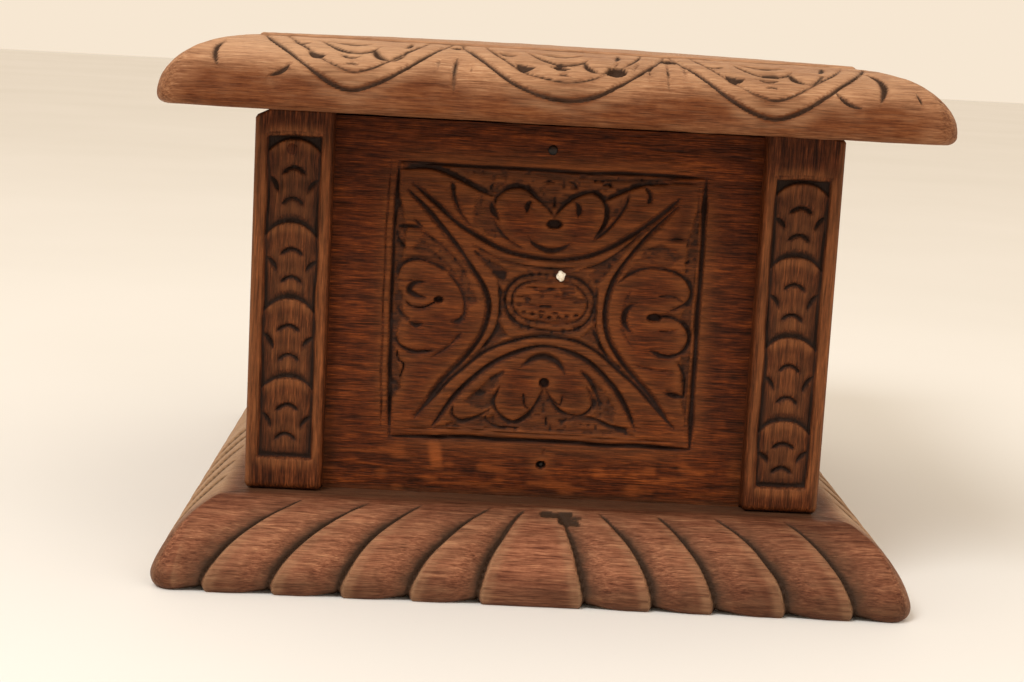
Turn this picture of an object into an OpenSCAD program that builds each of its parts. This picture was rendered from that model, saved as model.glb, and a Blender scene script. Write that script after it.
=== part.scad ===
// Carved wooden jewelry box: four corner posts stand on a moulded base, wall panels slide
// into grooves in the posts, and a moulded lid turns on two butt hinges at the back.
// X runs across the carved front, Y from the front to the hinges, Z up. Units: millimetres.

/* [Body] */
// Width across the corner posts
body_w = 150; // [130:5:240]
// Depth across the corner posts
body_d = 184; // [150:2:280]
// Height of the corner posts above the base
post_h = 99; // [80:1:140]
// Side of a square corner post
post_s = 20; // [20:1:26]
// Thickness of a wall panel
panel_t = 9; // [7:0.5:9]
// How far a panel sits behind the posts' outer faces
panel_recess = 5.5; // [4:0.5:5.5]
// Gap between the panels' top edges and the lid
panel_gap = 1.5; // [0.5:0.5:3]

/* [Base] */
// Thickness of the base board
base_t = 22; // [18:1:30]
// How far the base stands out past the posts
base_over = 22; // [16:1:28]
// Flat ledge between the posts and the base's moulding
base_ledge = 6.5; // [5:0.5:8]
// Radius of the base's corners in plan
base_corner_r = 8; // [4:1:10]
// Lobes carved along the front and the back of the base
front_lobes = 11; // [7:2:15]
// Lobes carved along each side of the base
side_lobes = 11; // [7:2:17]

/* [Lid] */
// Thickness of the lid board at its raised field
lid_t = 17.5; // [14:0.5:24]
// How far the lid stands out past the posts
lid_over = 23; // [18:0.5:28]
// Height of the raised field above the lid's border
lid_lip = 1; // [0.5:0.25:2]
// Radius of the lid's corners in plan
lid_corner_r = 6; // [3:1:10]

/* [Hinges] */
// Width of a hinge along its pin
hinge_w = 18; // [15:0.5:18]
// Length of a hinge leaf from the pin to its free edge
leaf_l = 13; // [12:0.5:14]

/* [Carving] */
// Side of the carved square on the front panel
square_w = 81; // [60:1:90]
// Height of the carved square on the front panel
square_h = 72; // [50:1:76]
// Depth of the carved ground below the panel's face
carve_d = 1; // [0.5:0.25:2]

/* [Lining] */
// Thickness of the cloth-covered boards that line the walls
lining_t = 1.6; // [1:0.2:3]
// Thickness of the padded floor
pad_t = 4; // [3:0.5:8]

/* [Hidden] */
$fn = 48;

// Levels
lid_z = base_t + post_h;
panel_h = post_h - panel_gap;

// Carved lines
line_w = 1.2;
arc_gap = 2.6;
boss_w = square_w * 0.29;
boss_h = square_h * 0.22;

// Joinery
fit = 0.05;
fix = 0.02;
tongue = post_s - panel_recess - panel_t - 0.5;
groove_slack = 0.3;
post_edge_r = 1.5;
tenon_s = 12;
tenon_h = 10;
inner_w = body_w - 2 * (panel_recess + panel_t);
inner_d = body_d - 2 * (panel_recess + panel_t);

// Mouldings
base_bulge_z = 5;
base_foot_r = 3.5;
base_slope_w = base_over - base_ledge;
lobe_groove_r = 1.1;
lid_foot_r = 3;
lid_border = lid_over - 0.5;
lip_bevel = 0.6;

// Hinges
pin_r = 0.9;
knuckle_r = 1.9;
pin_out = 2.2;
pin_down = 2.2;
leaf_t = 1.2;
knuckle_gap = 0.15;
knuckle_w = (hinge_w - 2 * knuckle_gap) / 3;
pin_y = body_d / 2 + pin_out;
pin_z = lid_z - pin_down;
hinge_x = body_w / 2 - post_s / 2;
hinge_screw_x = 5;
hinge_screw_l = 7.5;
hinge_head_r = 2.1;
hinge_shank_r = 1;
hinge_screw_len = 6;

// Fixings
post_screw_r = 1.75;
post_head_r = 3.4;
post_head_h = 1.6;
post_screw_sink = 4;
post_screw_len = 40;
nail_r = 0.7;
nail_len = 7;
nail_head_r = 1.25;
nail_head_h = 0.4;
plug_r = 1.35;
plug_len = 4;
peg_r = 1.5;
peg_len = 6;

// Places on the front, as [x, z] with x from the middle of the box
nail_top_at = [0.7, lid_z - 7.6];
nail_bottom_at = [2.2, base_t + 8.6];
plug_at = [4.6, base_t + 59];
square_at = [0.5, base_t + 50.5];
peg_at = [-body_w / 2 + 9.5, lid_z - 10.5];

// A half profile's points, each [inset from the outer edge, height], mirrored into an outline
function outline(profile, half) = concat(
    [for (p = profile) [half - p[0], p[1]]],
    [for (i = [len(profile) - 1 : -1 : 0]) [profile[i][0] - half, profile[i][1]]]
);

// A point of the base's slope, as [inset from the outer edge, height], for t from 0 to 90
function slope_point(t) = [
    base_slope_w * ((1 - cos(t)) + t / 90) / 2,
    base_bulge_z + (base_t - base_bulge_z) * (sin(t) + t / 90) / 2
];

// The base's edge: a rounded foot, then a swelling slope up to the ledge
function base_profile() = concat(
    [for (t = [0 : 22.5 : 90]) [base_foot_r * (1 - sin(t)), base_bulge_z * (1 - cos(t))]],
    [for (t = [10 : 10 : 90]) slope_point(t)]
);

// The lid's edge: a rounded underside, a thumbnail border, then the lip of the raised field
function lid_profile() = concat(
    [for (t = [0 : 22.5 : 90]) [lid_foot_r * (1 - sin(t)), lid_foot_r * (1 - cos(t))]],
    [for (t = [10 : 10 : 90]) [
        lid_border * (1 - cos(t)),
        lid_foot_r + (lid_t - lid_lip - lid_foot_r) * sin(t)
    ]],
    [[lid_border + lip_bevel, lid_t]]
);

module rounded_rect(w, d, r) {
    square([w - 2 * r, d], center = true);
    square([w, d - 2 * r], center = true);
    for (sx = [-1, 1], sy = [-1, 1])
        translate([sx * (w / 2 - r), sy * (d / 2 - r)])
            circle(r);
}

// A board whose four edges share one profile
module moulded_board(w, d, t, corner_r, profile) {
    intersection() {
        linear_extrude(height = t)
            rounded_rect(w, d, corner_r);
        rotate([90, 0, 0])
            linear_extrude(height = d + 2, center = true)
                polygon(outline(profile, w / 2));
        rotate([90, 0, 90])
            linear_extrude(height = w + 2, center = true)
                polygon(outline(profile, d / 2));
    }
}

// A square bar from one point to another and a little past both, used to cut grooves
module bar(from, to, r) {
    d = to - from;
    past = r / 2;
    translate(from)
        rotate([0, acos(d[2] / norm(d)), atan2(d[1], d[0])])
            translate([0, 0, -past])
                cylinder(h = norm(d) + 2 * past, r = r, $fn = 4);
}

// The grooves between the lobes of one edge, whose middle lobe is half as wide again as the
// others. They follow the slope and lean in towards the edge's middle as they rise.
module lobe_grooves(edge_l, half_depth, lobes) {
    pitch = edge_l / (lobes + 0.5);
    step = 30;
    for (s = [-1, 1], i = [0 : (lobes - 3) / 2]) {
        x = (i + 0.75) * pitch;
        lean = 2.1 * sqrt(x);
        path = concat(
            [[s * x, -half_depth, -base_bulge_z]],
            [for (t = [0 : step : 90]) let (p = slope_point(t))
                [s * (x - lean * t / 90), p[0] - half_depth, p[1]]]
        );
        for (k = [1 : len(path) - 1])
            bar(path[k - 1], path[k], lobe_groove_r);
    }
}

// Puts a child drawn with its outer corner at the origin at one corner of the body
module at_corner(sx, sy) {
    translate([sx * body_w / 2, sy * body_d / 2, 0])
        mirror([sx > 0 ? 1 : 0, 0, 0])
            mirror([0, sy > 0 ? 1 : 0, 0])
                children();
}

// A child drawn along +Z at each corner post's centre
module at_posts() {
    for (sx = [-1, 1], sy = [-1, 1])
        translate([sx * (body_w - post_s) / 2, sy * (body_d - post_s) / 2, 0])
            children();
}

module base_board() {
    base_w = body_w + 2 * base_over;
    base_d = body_d + 2 * base_over;
    color("sienna")
        difference() {
            moulded_board(base_w, base_d, base_t, base_corner_r, base_profile());
            for (turn = [0, 180])
                rotate([0, 0, turn])
                    lobe_grooves(base_w + base_corner_r, base_d / 2, front_lobes);
            for (turn = [90, 270])
                rotate([0, 0, turn])
                    lobe_grooves(base_d + base_corner_r, base_w / 2, side_lobes);
            at_posts() {
                translate([0, 0, base_t - tenon_h / 2 + 0.5])
                    cube([tenon_s + 2 * fix, tenon_s + 2 * fix, tenon_h + 1], center = true);
                translate([0, 0, -1])
                    cylinder(h = base_t, r = post_screw_r + fit);
                translate([0, 0, -1])
                    cylinder(h = post_screw_sink + 1, r = post_head_r + fit);
            }
        }
}

// The carved panel on a post's front: a sunk field under four round-headed scales
module scale_pocket() {
    pocket_w = post_s - 7;
    pocket_h = post_h - 16;
    scales = 4;
    pitch = pocket_h / scales;
    for (i = [0 : scales - 1])
        translate([post_s / 2, 0, base_t + 9 + i * pitch])
            rotate([90, 0, 0])
                intersection() {
                    cylinder(h = carve_d, r = pitch - 1, center = true);
                    translate([0, pitch / 2, 0])
                        cube([pocket_w, pitch - 2, carve_d], center = true);
                }
}

// A corner post, drawn with its outer corner at the origin
module post(carved) {
    difference() {
        union() {
            translate([post_s / 2, post_s / 2, base_t])
                linear_extrude(height = post_h)
                    rounded_rect(post_s, post_s, post_edge_r);
            translate([(post_s - tenon_s) / 2, (post_s - tenon_s) / 2, base_t - tenon_h])
                cube([tenon_s, tenon_s, tenon_h + 1]);
        }
        translate([post_s - tongue, panel_recess - fit, base_t - 0.5])
            cube([tongue + 1, panel_t + 2 * fit, post_h + 1]);
        translate([panel_recess - fit, post_s - tongue, base_t - 0.5])
            cube([panel_t + 2 * fit, tongue + 1, post_h + 1]);
        translate([post_s / 2, post_s / 2, base_t - tenon_h - 1])
            cylinder(h = post_screw_len - 7, r = post_screw_r + fix);
        if (carved)
            scale_pocket();
    }
}

// The pilot holes of a hinge's two screws in a back post
module hinge_pilots() {
    for (sx = [-1, 1])
        translate([sx * hinge_screw_x, body_d / 2 + 1, pin_z - hinge_screw_l])
            rotate([90, 0, 0])
                cylinder(h = hinge_screw_len, r = hinge_shank_r + fix);
}

module post_front_left() {
    color("saddlebrown")
        difference() {
            at_corner(-1, -1) post(true);
            translate([peg_at[0], -body_d / 2 - 1, peg_at[1]])
                rotate([-90, 0, 0])
                    cylinder(h = peg_len + 1, r = peg_r + fix);
        }
}

module post_front_right() {
    color("saddlebrown")
        at_corner(1, -1) post(true);
}

module post_back(sx) {
    color("saddlebrown")
        difference() {
            at_corner(sx, 1) post(false);
            translate([sx * hinge_x, 0, 0])
                hinge_pilots();
        }
}

// A wall panel of a given length, its outer face at y = 0, standing on the base
module panel(l) {
    translate([-l / 2, 0, base_t])
        cube([l, panel_t, panel_h]);
}

// A sunk line of one width along the inside of a 2D shape's bounds, drawn by two children:
// the line's outer and inner outlines
module sunk_line() {
    linear_extrude(height = 2 * carve_d, center = true)
        difference() {
            children(0);
            children(1);
        }
}

// The double arc that bounds one of the four flowers, its apex facing the square's centre
module flower_arc(apex, r) {
    for (k = [0, 1])
        translate([0, apex + r])
            sunk_line() {
                circle(r - k * arc_gap);
                circle(r - k * arc_gap - line_w);
            }
}

// The carved square: a sunk line round it, the arcs of four flowers and an oval boss
module carved_square() {
    sunk_line() {
        square([square_w, square_h], center = true);
        square([square_w - 2 * line_w, square_h - 2 * line_w], center = true);
    }
    intersection() {
        cube([square_w, square_h, 4 * carve_d], center = true);
        union()
            for (s = [0, 180]) {
                rotate([0, 0, s])
                    flower_arc(square_h * 0.16, square_h * 0.55);
                rotate([0, 0, s + 90])
                    flower_arc(square_w * 0.17, square_w * 0.35);
            }
    }
    sunk_line() {
        rounded_rect(boss_w, boss_h, boss_h / 2 - 1);
        rounded_rect(boss_w - 2 * line_w, boss_h - 2 * line_w, boss_h / 2 - 1 - line_w);
    }
}

module panel_front() {
    face_y = -body_d / 2 + panel_recess;
    color("brown")
        difference() {
            translate([0, face_y, 0])
                panel(body_w - 2 * post_s + 2 * tongue - 2 * groove_slack);
            translate([square_at[0], face_y, square_at[1]])
                rotate([90, 0, 0])
                    carved_square();
            for (at = [nail_top_at, nail_bottom_at])
                translate([at[0], face_y - 1, at[1]])
                    rotate([-90, 0, 0])
                        cylinder(h = nail_len + 1, r = nail_r + fix);
            translate([plug_at[0], face_y - 1, plug_at[1]])
                rotate([-90, 0, 0])
                    cylinder(h = plug_len + 1, r = plug_r + fix);
        }
}

module panel_back() {
    color("brown")
        rotate([0, 0, 180])
            translate([0, -body_d / 2 + panel_recess, 0])
                panel(body_w - 2 * post_s + 2 * tongue - 2 * groove_slack);
}

module panel_side(turn) {
    color("brown")
        rotate([0, 0, turn])
            translate([0, -body_w / 2 + panel_recess, 0])
                panel(body_d - 2 * post_s + 2 * tongue - 2 * groove_slack);
}

module lid_board() {
    color("peru")
        difference() {
            translate([0, 0, lid_z])
                moulded_board(body_w + 2 * lid_over, body_d + 2 * lid_over, lid_t,
                              lid_corner_r, lid_profile());
            for (sx = [-1, 1], dx = [-1, 1])
                translate([sx * hinge_x + dx * hinge_screw_x, pin_y + hinge_screw_l, lid_z - 1])
                    cylinder(h = hinge_screw_len, r = hinge_shank_r + fix);
        }
}

// Knuckles at given steps along the pin, about the pin's axis at the origin
module knuckles(steps) {
    for (i = steps)
        translate([i * (knuckle_w + knuckle_gap), 0, 0])
            rotate([0, 90, 0])
                cylinder(h = knuckle_w, r = knuckle_r, center = true);
}

// A hinge leaf about the pin's axis. It hangs down from its knuckles, flat on the plane
// y = -pin_out, with two countersunk holes.
module leaf(steps, plane) {
    shoulder = knuckle_r + 0.4;
    difference() {
        union() {
            knuckles(steps);
            translate([-hinge_w / 2, -plane, -leaf_l])
                cube([hinge_w, leaf_t, leaf_l - shoulder]);
            for (i = steps)
                translate([i * (knuckle_w + knuckle_gap) - knuckle_w / 2, -plane, -shoulder - 0.5])
                    cube([knuckle_w, leaf_t, shoulder + 0.5]);
        }
        rotate([0, 90, 0])
            cylinder(h = hinge_w + 2, r = pin_r + fit, center = true);
        for (sx = [-1, 1])
            translate([sx * hinge_screw_x, -plane, -hinge_screw_l])
                rotate([-90, 0, 0])
                    cylinder(h = leaf_t, r1 = hinge_shank_r + fix, r2 = hinge_head_r + fix);
    }
}

module body_leaf(sx) {
    color("dimgray")
        translate([sx * hinge_x, pin_y, pin_z])
            leaf([-1, 1], pin_out);
}

// The lid's leaf lies under the lid's overhang, a quarter turn from the body's leaf
module lid_leaf(sx) {
    color("dimgray")
        translate([sx * hinge_x, pin_y, pin_z])
            rotate([90, 0, 0])
                mirror([0, 1, 0])
                    leaf([0], pin_down);
}

module hinge_pin(sx) {
    head_r = 1.4;
    head_h = 0.6;
    color("gray")
        translate([sx * hinge_x, pin_y, pin_z])
            rotate([0, 90, 0]) {
                cylinder(h = hinge_w, r = pin_r, center = true);
                for (s = [-1, 1])
                    translate([0, 0, s * (hinge_w + head_h) / 2])
                        cylinder(h = head_h, r = head_r, center = true);
            }
}

// A countersunk slotted screw that points along +Z, its head's face at z = 0
module leaf_screw() {
    difference() {
        union() {
            cylinder(h = leaf_t, r1 = hinge_head_r, r2 = hinge_shank_r);
            cylinder(h = hinge_screw_len, r = hinge_shank_r);
        }
        translate([0, 0, 0.1])
            cube([2 * hinge_head_r + 1, 0.5, 0.6], center = true);
    }
}

module hinge_body_screws() {
    color("silver")
        for (sx = [-1, 1], dx = [-1, 1])
            translate([sx * hinge_x + dx * hinge_screw_x, body_d / 2 + leaf_t,
                       pin_z - hinge_screw_l])
                rotate([90, 0, 0])
                    leaf_screw();
}

module hinge_lid_screws() {
    color("silver")
        for (sx = [-1, 1], dx = [-1, 1])
            translate([sx * hinge_x + dx * hinge_screw_x, pin_y + hinge_screw_l,
                       lid_z - leaf_t])
                leaf_screw();
}

// The screws that rise through the base into the posts' feet
module post_screws() {
    color("silver")
        at_posts()
            translate([0, 0, post_screw_sink - post_head_h])
                difference() {
                    union() {
                        cylinder(h = post_head_h, r = post_head_r);
                        cylinder(h = post_screw_len, r = post_screw_r);
                    }
                    cube([2 * post_head_r + 1, 0.8, 1.4], center = true);
                }
}

// A nail driven into the front panel, its head on the panel's face
module panel_nail(at) {
    color("gray")
        translate([at[0], -body_d / 2 + panel_recess - nail_head_h, at[1]])
            rotate([-90, 0, 0]) {
                cylinder(h = nail_head_h, r = nail_head_r);
                cylinder(h = nail_len, r = nail_r);
            }
}

module filler_plug() {
    color("ivory")
        translate([plug_at[0], -body_d / 2 + panel_recess, plug_at[1]])
            rotate([-90, 0, 0])
                cylinder(h = plug_len, r = plug_r);
}

module post_peg() {
    color("saddlebrown")
        translate([peg_at[0], -body_d / 2 + carve_d / 2, peg_at[1]])
            rotate([-90, 0, 0])
                cylinder(h = peg_len - carve_d, r = peg_r);
}

// The padded floor, notched round the posts
module floor_pad() {
    w = inner_w - 2 * lining_t - 1;
    d = inner_d - 2 * lining_t - 1;
    between_posts_w = body_w - 2 * post_s - 1;
    between_posts_d = body_d - 2 * post_s - 1;
    color("darkred")
        translate([0, 0, base_t])
            linear_extrude(height = pad_t) {
                square([w, between_posts_d], center = true);
                square([between_posts_w, d], center = true);
            }
}

// A cloth-covered board that stands against a wall, drawn with its wall at y = -back
module lining(l, back) {
    color("darkred")
        translate([-l / 2, -back, base_t])
            cube([l, lining_t, panel_h - 2]);
}

module lining_end(turn) {
    rotate([0, 0, turn])
        lining(body_w - 2 * post_s - 1.2, inner_d / 2);
}

module lining_side(turn) {
    rotate([0, 0, turn])
        lining(body_d - 2 * post_s - 1.2, inner_w / 2);
}

base_board();
post_front_left();
post_front_right();
post_back(-1);  // post_back_left
post_back(1);  // post_back_right
panel_front();
panel_back();
panel_side(-90);  // panel_left
panel_side(90);  // panel_right
lid_board();
body_leaf(-1);  // hinge_left_body_leaf
body_leaf(1);  // hinge_right_body_leaf
lid_leaf(-1);  // hinge_left_lid_leaf
lid_leaf(1);  // hinge_right_lid_leaf
hinge_pin(-1);  // hinge_left_pin
hinge_pin(1);  // hinge_right_pin
hinge_body_screws();
hinge_lid_screws();
post_screws();
panel_nail(nail_top_at);  // panel_nail_top
panel_nail(nail_bottom_at);  // panel_nail_bottom
filler_plug();
post_peg();
floor_pad();
lining_end(0);  // lining_front
lining_end(180);  // lining_back
lining_side(-90);  // lining_left
lining_side(90);  // lining_right
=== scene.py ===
"""The looks of a carved oak jewelry box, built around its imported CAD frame.

Lengths in this script are millimetres, in the frame's axes: X across the carved front, Y back to
the hinges, Z up from the ground. They are turned into metres when a mesh is made.
"""
import math

import bmesh
import bpy
import numpy as np
from mathutils import Matrix, Vector


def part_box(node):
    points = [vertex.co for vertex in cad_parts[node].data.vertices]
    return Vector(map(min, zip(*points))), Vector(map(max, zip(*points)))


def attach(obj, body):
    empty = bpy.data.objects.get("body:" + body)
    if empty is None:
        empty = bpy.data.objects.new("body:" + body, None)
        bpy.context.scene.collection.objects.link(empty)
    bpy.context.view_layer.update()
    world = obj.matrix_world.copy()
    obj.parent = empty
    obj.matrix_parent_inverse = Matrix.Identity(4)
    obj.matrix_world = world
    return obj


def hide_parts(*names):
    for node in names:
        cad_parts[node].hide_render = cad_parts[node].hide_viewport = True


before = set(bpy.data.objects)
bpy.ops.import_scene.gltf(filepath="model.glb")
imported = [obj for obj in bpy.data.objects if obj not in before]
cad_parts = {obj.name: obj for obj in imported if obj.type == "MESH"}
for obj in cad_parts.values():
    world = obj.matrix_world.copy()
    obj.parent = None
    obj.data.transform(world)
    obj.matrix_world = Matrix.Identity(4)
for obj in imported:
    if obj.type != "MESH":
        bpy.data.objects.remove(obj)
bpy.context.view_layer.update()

MM = 0.001
SHARP_ANGLE = 50  # edges that turn more than this are drawn sharp


# ---------------------------------------------------------------- sizes from the frame
def box_mm(node):
    """A node's lowest and highest corners, in millimetres."""
    low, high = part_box(node)
    return np.array(low) / MM, np.array(high) / MM


BASE_HIGH = box_mm("base_board")[1]
LID_LOW, LID_HIGH = box_mm("lid_board")
POST_LOW, POST_HIGH = box_mm("post_front_right")
FRONT_LOW, FRONT_HIGH = box_mm("panel_front")
SIDE_HIGH = box_mm("panel_right")[1]
BASE_TOP = BASE_HIGH[2]
LID_Z = LID_LOW[2]
HALF_W = POST_HIGH[0]
HALF_D = -POST_LOW[1]
POST_S = POST_HIGH[0] - POST_LOW[0]
RECESS = FRONT_LOW[1] + HALF_D
PANEL_T = FRONT_HIGH[1] - FRONT_LOW[1]
TONGUE = FRONT_HIGH[0] - (HALF_W - POST_S)


# ---------------------------------------------------------------- shapes on a flat sheet
NOISE_CELLS = 64  # before the noise repeats


def noise(x, y, size, seed):
    """Smooth noise from -1 to 1, with features about size across."""
    table = np.random.default_rng(seed).uniform(-1, 1, (NOISE_CELLS, NOISE_CELLS))
    u, v = np.asarray(x) / size, np.asarray(y) / size
    i, j = np.floor(u).astype(int), np.floor(v).astype(int)
    fu, fv = u - i, v - j
    fu, fv = fu * fu * (3 - 2 * fu), fv * fv * (3 - 2 * fv)
    corner = lambda di, dj: table[(i + di) % NOISE_CELLS, (j + dj) % NOISE_CELLS]
    low = corner(0, 0) * (1 - fu) + corner(1, 0) * fu
    high = corner(0, 1) * (1 - fu) + corner(1, 1) * fu
    return low * (1 - fv) + high * fv


CURVE_STEPS = 7


def curve(points):
    """A smooth line through given points."""
    p = np.array(points, float)
    if len(p) < 3:
        return p
    p = np.vstack([2 * p[0] - p[1], p, 2 * p[-1] - p[-2]])
    t = np.linspace(0, 1, CURVE_STEPS, endpoint=False)[:, None]
    parts = [
        0.5 * (2 * b + (c - a) * t + (2 * a - 5 * b + 4 * c - d) * t**2
               + (3 * b - a - 3 * c + d) * t**3)
        for a, b, c, d in zip(p[:-3], p[1:-2], p[2:-1], p[3:])
    ]
    return np.vstack(parts + [p[-2:-1]])


def smooth_step(x, low, high):
    t = np.clip((np.asarray(x) - low) / (high - low), 0, 1)
    return t * t * (3 - 2 * t)


def blur(h, n):
    """A box blur of a grid, run twice, n samples to each side."""
    for axis in (0, 1, 0, 1):
        pad = [(n + 1, n) if a == axis else (0, 0) for a in (0, 1)]
        total = np.cumsum(np.pad(h, pad, mode="edge"), axis=axis)
        size = h.shape[axis]
        high = np.take(total, range(2 * n + 1, 2 * n + 1 + size), axis)
        h = (high - np.take(total, range(size), axis)) / (2 * n + 1)
    return h


SHOULDER = 0.35  # how far the wood round a cut falls, as a part of the cut's depth


class Relief:
    """The depth that a carver has cut at each place (x, y) of a grid."""

    def __init__(self, x, y, seed=1, wobble=0.25):
        self.x = x + wobble * noise(x, y, 9, seed)
        self.y = y + wobble * noise(x, y, 9, seed + 1)
        self.hand = 0.78 + 0.22 * noise(x, y, 5, seed + 2)
        self.cut = np.zeros(x.shape)
        self.slope = np.zeros(x.shape)
        self.ground = np.zeros(x.shape)

    def near(self, line, reach):
        """The places near a line, their distance from it, how far along it they lie and which
        side of it they are on: 1 to the left of its direction, -1 to the right."""
        low, high = line.min(0) - reach, line.max(0) + reach
        at = np.nonzero((self.x > low[0]) & (self.x < high[0])
                        & (self.y > low[1]) & (self.y < high[1]))
        p = np.stack([self.x[at], self.y[at]], -1)
        best = np.full(len(p), 1e9)
        along = np.zeros(len(p))
        side = np.ones(len(p))
        lengths = np.linalg.norm(np.diff(line, axis=0), axis=1)
        start = 0
        for a, b, l in zip(line[:-1], line[1:], lengths):
            t = np.clip(((p - a) @ (b - a)) / max(l * l, 1e-9), 0, 1)
            off = p - a - t[:, None] * (b - a)
            d = np.linalg.norm(off, axis=1)
            closer = d < best
            best[closer] = d[closer]
            along[closer] = (start + t[closer] * l) / lengths.sum()
            turn = (b - a)[0] * off[:, 1] - (b - a)[1] * off[:, 0]
            side[closer] = np.where(turn[closer] >= 0, 1, -1)
            start += l
        return at, best, along, side

    def groove(self, points, width, depth, side=0, crescent=False):
        """A cut along a smooth line. With a side, the cut is steep on one side and slopes
        gently up on the other: 1 is the left of the line's direction, -1 the right. A crescent
        is widest in its middle."""
        at, d, t, which = self.near(curve(points), 3 * width + 2)
        if crescent:
            taper = np.sin(math.pi * np.clip(t, 0.04, 0.96)) ** 0.8
        else:
            taper = np.clip(np.minimum(t, 1 - t) * 7 + 0.25, 0, 1) ** 0.6
        half = width * taper / 2
        half = half if side == 0 else np.where(which == side, 2.6 * half, 0.75 * half)
        hand = self.hand[at]
        sharp = depth * hand * taper * np.clip(1 - d / half, 0, 1) ** 0.9
        broad = SHOULDER * depth * taper * np.exp(-d / (1.2 * width))
        self.cut[at] = np.maximum(self.cut[at], sharp)
        self.slope[at] = np.maximum(self.slope[at], broad)

    def carve(self, cuts, crescent=False, cx=0.0, cy=0.0, stretch=1.0, thin=1.0):
        """Grooves from a table of (points, width, depth, side), with no side where it is 0. The
        points are stretched along y and moved by cx and cy, and the widths are made thinner."""
        for points, width, depth, *side in cuts:
            line = [(cx + x, cy + stretch * y) for x, y in points]
            self.groove(line, thin * width, depth, *side, crescent=crescent)

    def hole(self, x, y, rx, ry, depth):
        """A round or oval drilled hollow."""
        d = np.hypot((self.x - x) / rx, (self.y - y) / ry)
        self.cut = np.maximum(self.cut, depth * smooth_step(-d, -1.15, -0.6))

    def inside(self, points, soft):
        """1 inside an outline and 0 outside, with a soft edge."""
        p = np.array(points, float)
        within = np.zeros(self.x.shape, bool)
        for (x0, y0), (x1, y1) in zip(p, np.roll(p, -1, 0)):
            crosses = (y0 > self.y) != (y1 > self.y)
            at = x0 + (self.y - y0) * (x1 - x0) / (y1 - y0 + 1e-9)
            within ^= crosses & (self.x < at)
        at, d, _, _ = self.near(np.vstack([p, p[:1]]), soft + 0.5)
        level = within.astype(float)
        edge = np.clip(d / soft, 0, 1) / 2
        level[at] = np.where(within[at], 0.5 + edge, 0.5 - edge)
        return smooth_step(level, 0, 1)

    def sink(self, points, depth, soft=1.0, spared=None):
        """Lowers the inside of an outline to a flat ground, but for a spared outline in it."""
        level = self.inside(points, soft)
        if spared:
            level = level * (1 - self.inside(spared, soft))
        self.ground = np.maximum(self.ground, depth * level)

    def depth(self):
        return self.cut + self.slope + self.ground


def wear_of(depth, n, ground, soft=0.0):
    """Attributes of a carved grid: cuts below their surroundings, darkened with dirt and painted
    shade, rubbed edges above them, and sunk grounds where wax lies. Ground above 1 is as dark as a
    cut; soft spreads wax and painted shade round the cuts."""
    hollow = depth - blur(depth, n)
    return {
        "cav": np.clip(np.maximum(hollow / 0.5, ground - 1), 0, 1),
        "edge": np.clip(-hollow / 0.2, 0, 1),
        "dust_and_shade": np.clip(np.maximum(ground, soft * blur(depth, 2 * n)), 0, 1),
    }


# ---------------------------------------------------------------- meshes
def linked(name, data):
    """A new object in the scene."""
    obj = bpy.data.objects.new(name, data)
    bpy.context.scene.collection.objects.link(obj)
    return obj


def add_object(name, verts, faces, body, node, slot, material, attributes=None):
    """A piece that stands for a CAD node, from vertices in millimetres and faces. faces holds
    arrays of equal-sided faces, or single faces as lists."""
    loops, starts, count = [], [], 0
    for part in faces:
        part = np.atleast_2d(np.asarray(part, dtype=np.int64))
        loops.append(part.ravel())
        starts.append(count + np.arange(len(part)) * part.shape[1])
        count += part.size
    loops, starts = np.concatenate(loops), np.concatenate(starts)
    mesh = bpy.data.meshes.new(name)
    mesh.vertices.add(len(verts))
    mesh.vertices.foreach_set("co", (np.asarray(verts) * MM).ravel())
    mesh.loops.add(len(loops))
    mesh.loops.foreach_set("vertex_index", loops)
    mesh.polygons.add(len(starts))
    mesh.polygons.foreach_set("loop_start", starts)
    mesh.update(calc_edges=True)
    mesh.validate()
    for key, values in (attributes or {}).items():
        layer = mesh.attributes.new(key, "FLOAT", "POINT")
        layer.data.foreach_set("value", np.asarray(values, float).ravel())
    mesh.materials.append(material)
    obj = linked(name, mesh)
    mesh.shade_smooth()
    mesh.set_sharp_from_angle(angle=math.radians(SHARP_ANGLE))
    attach(obj, body)
    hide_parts(node)
    return obj


def grid_faces(rows, columns, wrap=False, flip=False):
    """Faces between a grid's vertices, numbered row by row. wrap joins each row's ends."""
    r = np.arange(rows - 1)[:, None]
    c = np.arange(columns if wrap else columns - 1)[None, :]
    n = (c + 1) % columns
    quads = np.stack([r * columns + c, r * columns + n, (r + 1) * columns + n,
                      (r + 1) * columns + c], -1).reshape(-1, 4)
    return quads[:, ::-1] if flip else quads


def tube_faces(rows, columns, flip=False):
    """Faces of a grid whose rows are closed rings, with a cap on the first and the last."""
    ring = np.arange(columns)
    caps = [ring[::-1], (rows - 1) * columns + ring]
    if flip:
        caps = [cap[::-1] for cap in caps]
    return [grid_faces(rows, columns, wrap=True, flip=flip), *caps]


def backed(front, axis, level):
    """Vertices and faces of a solid whose front is a grid of points and whose flat back lies at
    a level on one axis."""
    rows, columns = front.shape[:2]
    index = np.arange(rows * columns).reshape(rows, columns)
    rim = np.concatenate([index[0, :-1], index[:-1, -1], index[-1, :0:-1], index[:0:-1, 0]])
    front = front.reshape(-1, 3)
    back = front[rim].copy()
    back[:, axis] = level
    first, ring = len(front), np.arange(len(rim))
    after = np.roll(ring, -1)
    sides = np.stack([rim, first + ring, first + after, rim[after]], -1)
    return np.vstack([front, back]), [grid_faces(rows, columns), sides, first + ring[::-1]]


def turned(points, degrees):
    a = math.radians(degrees)
    turn = np.array([[math.cos(a), -math.sin(a), 0], [math.sin(a), math.cos(a), 0], [0, 0, 1]])
    return points @ turn.T


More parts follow.
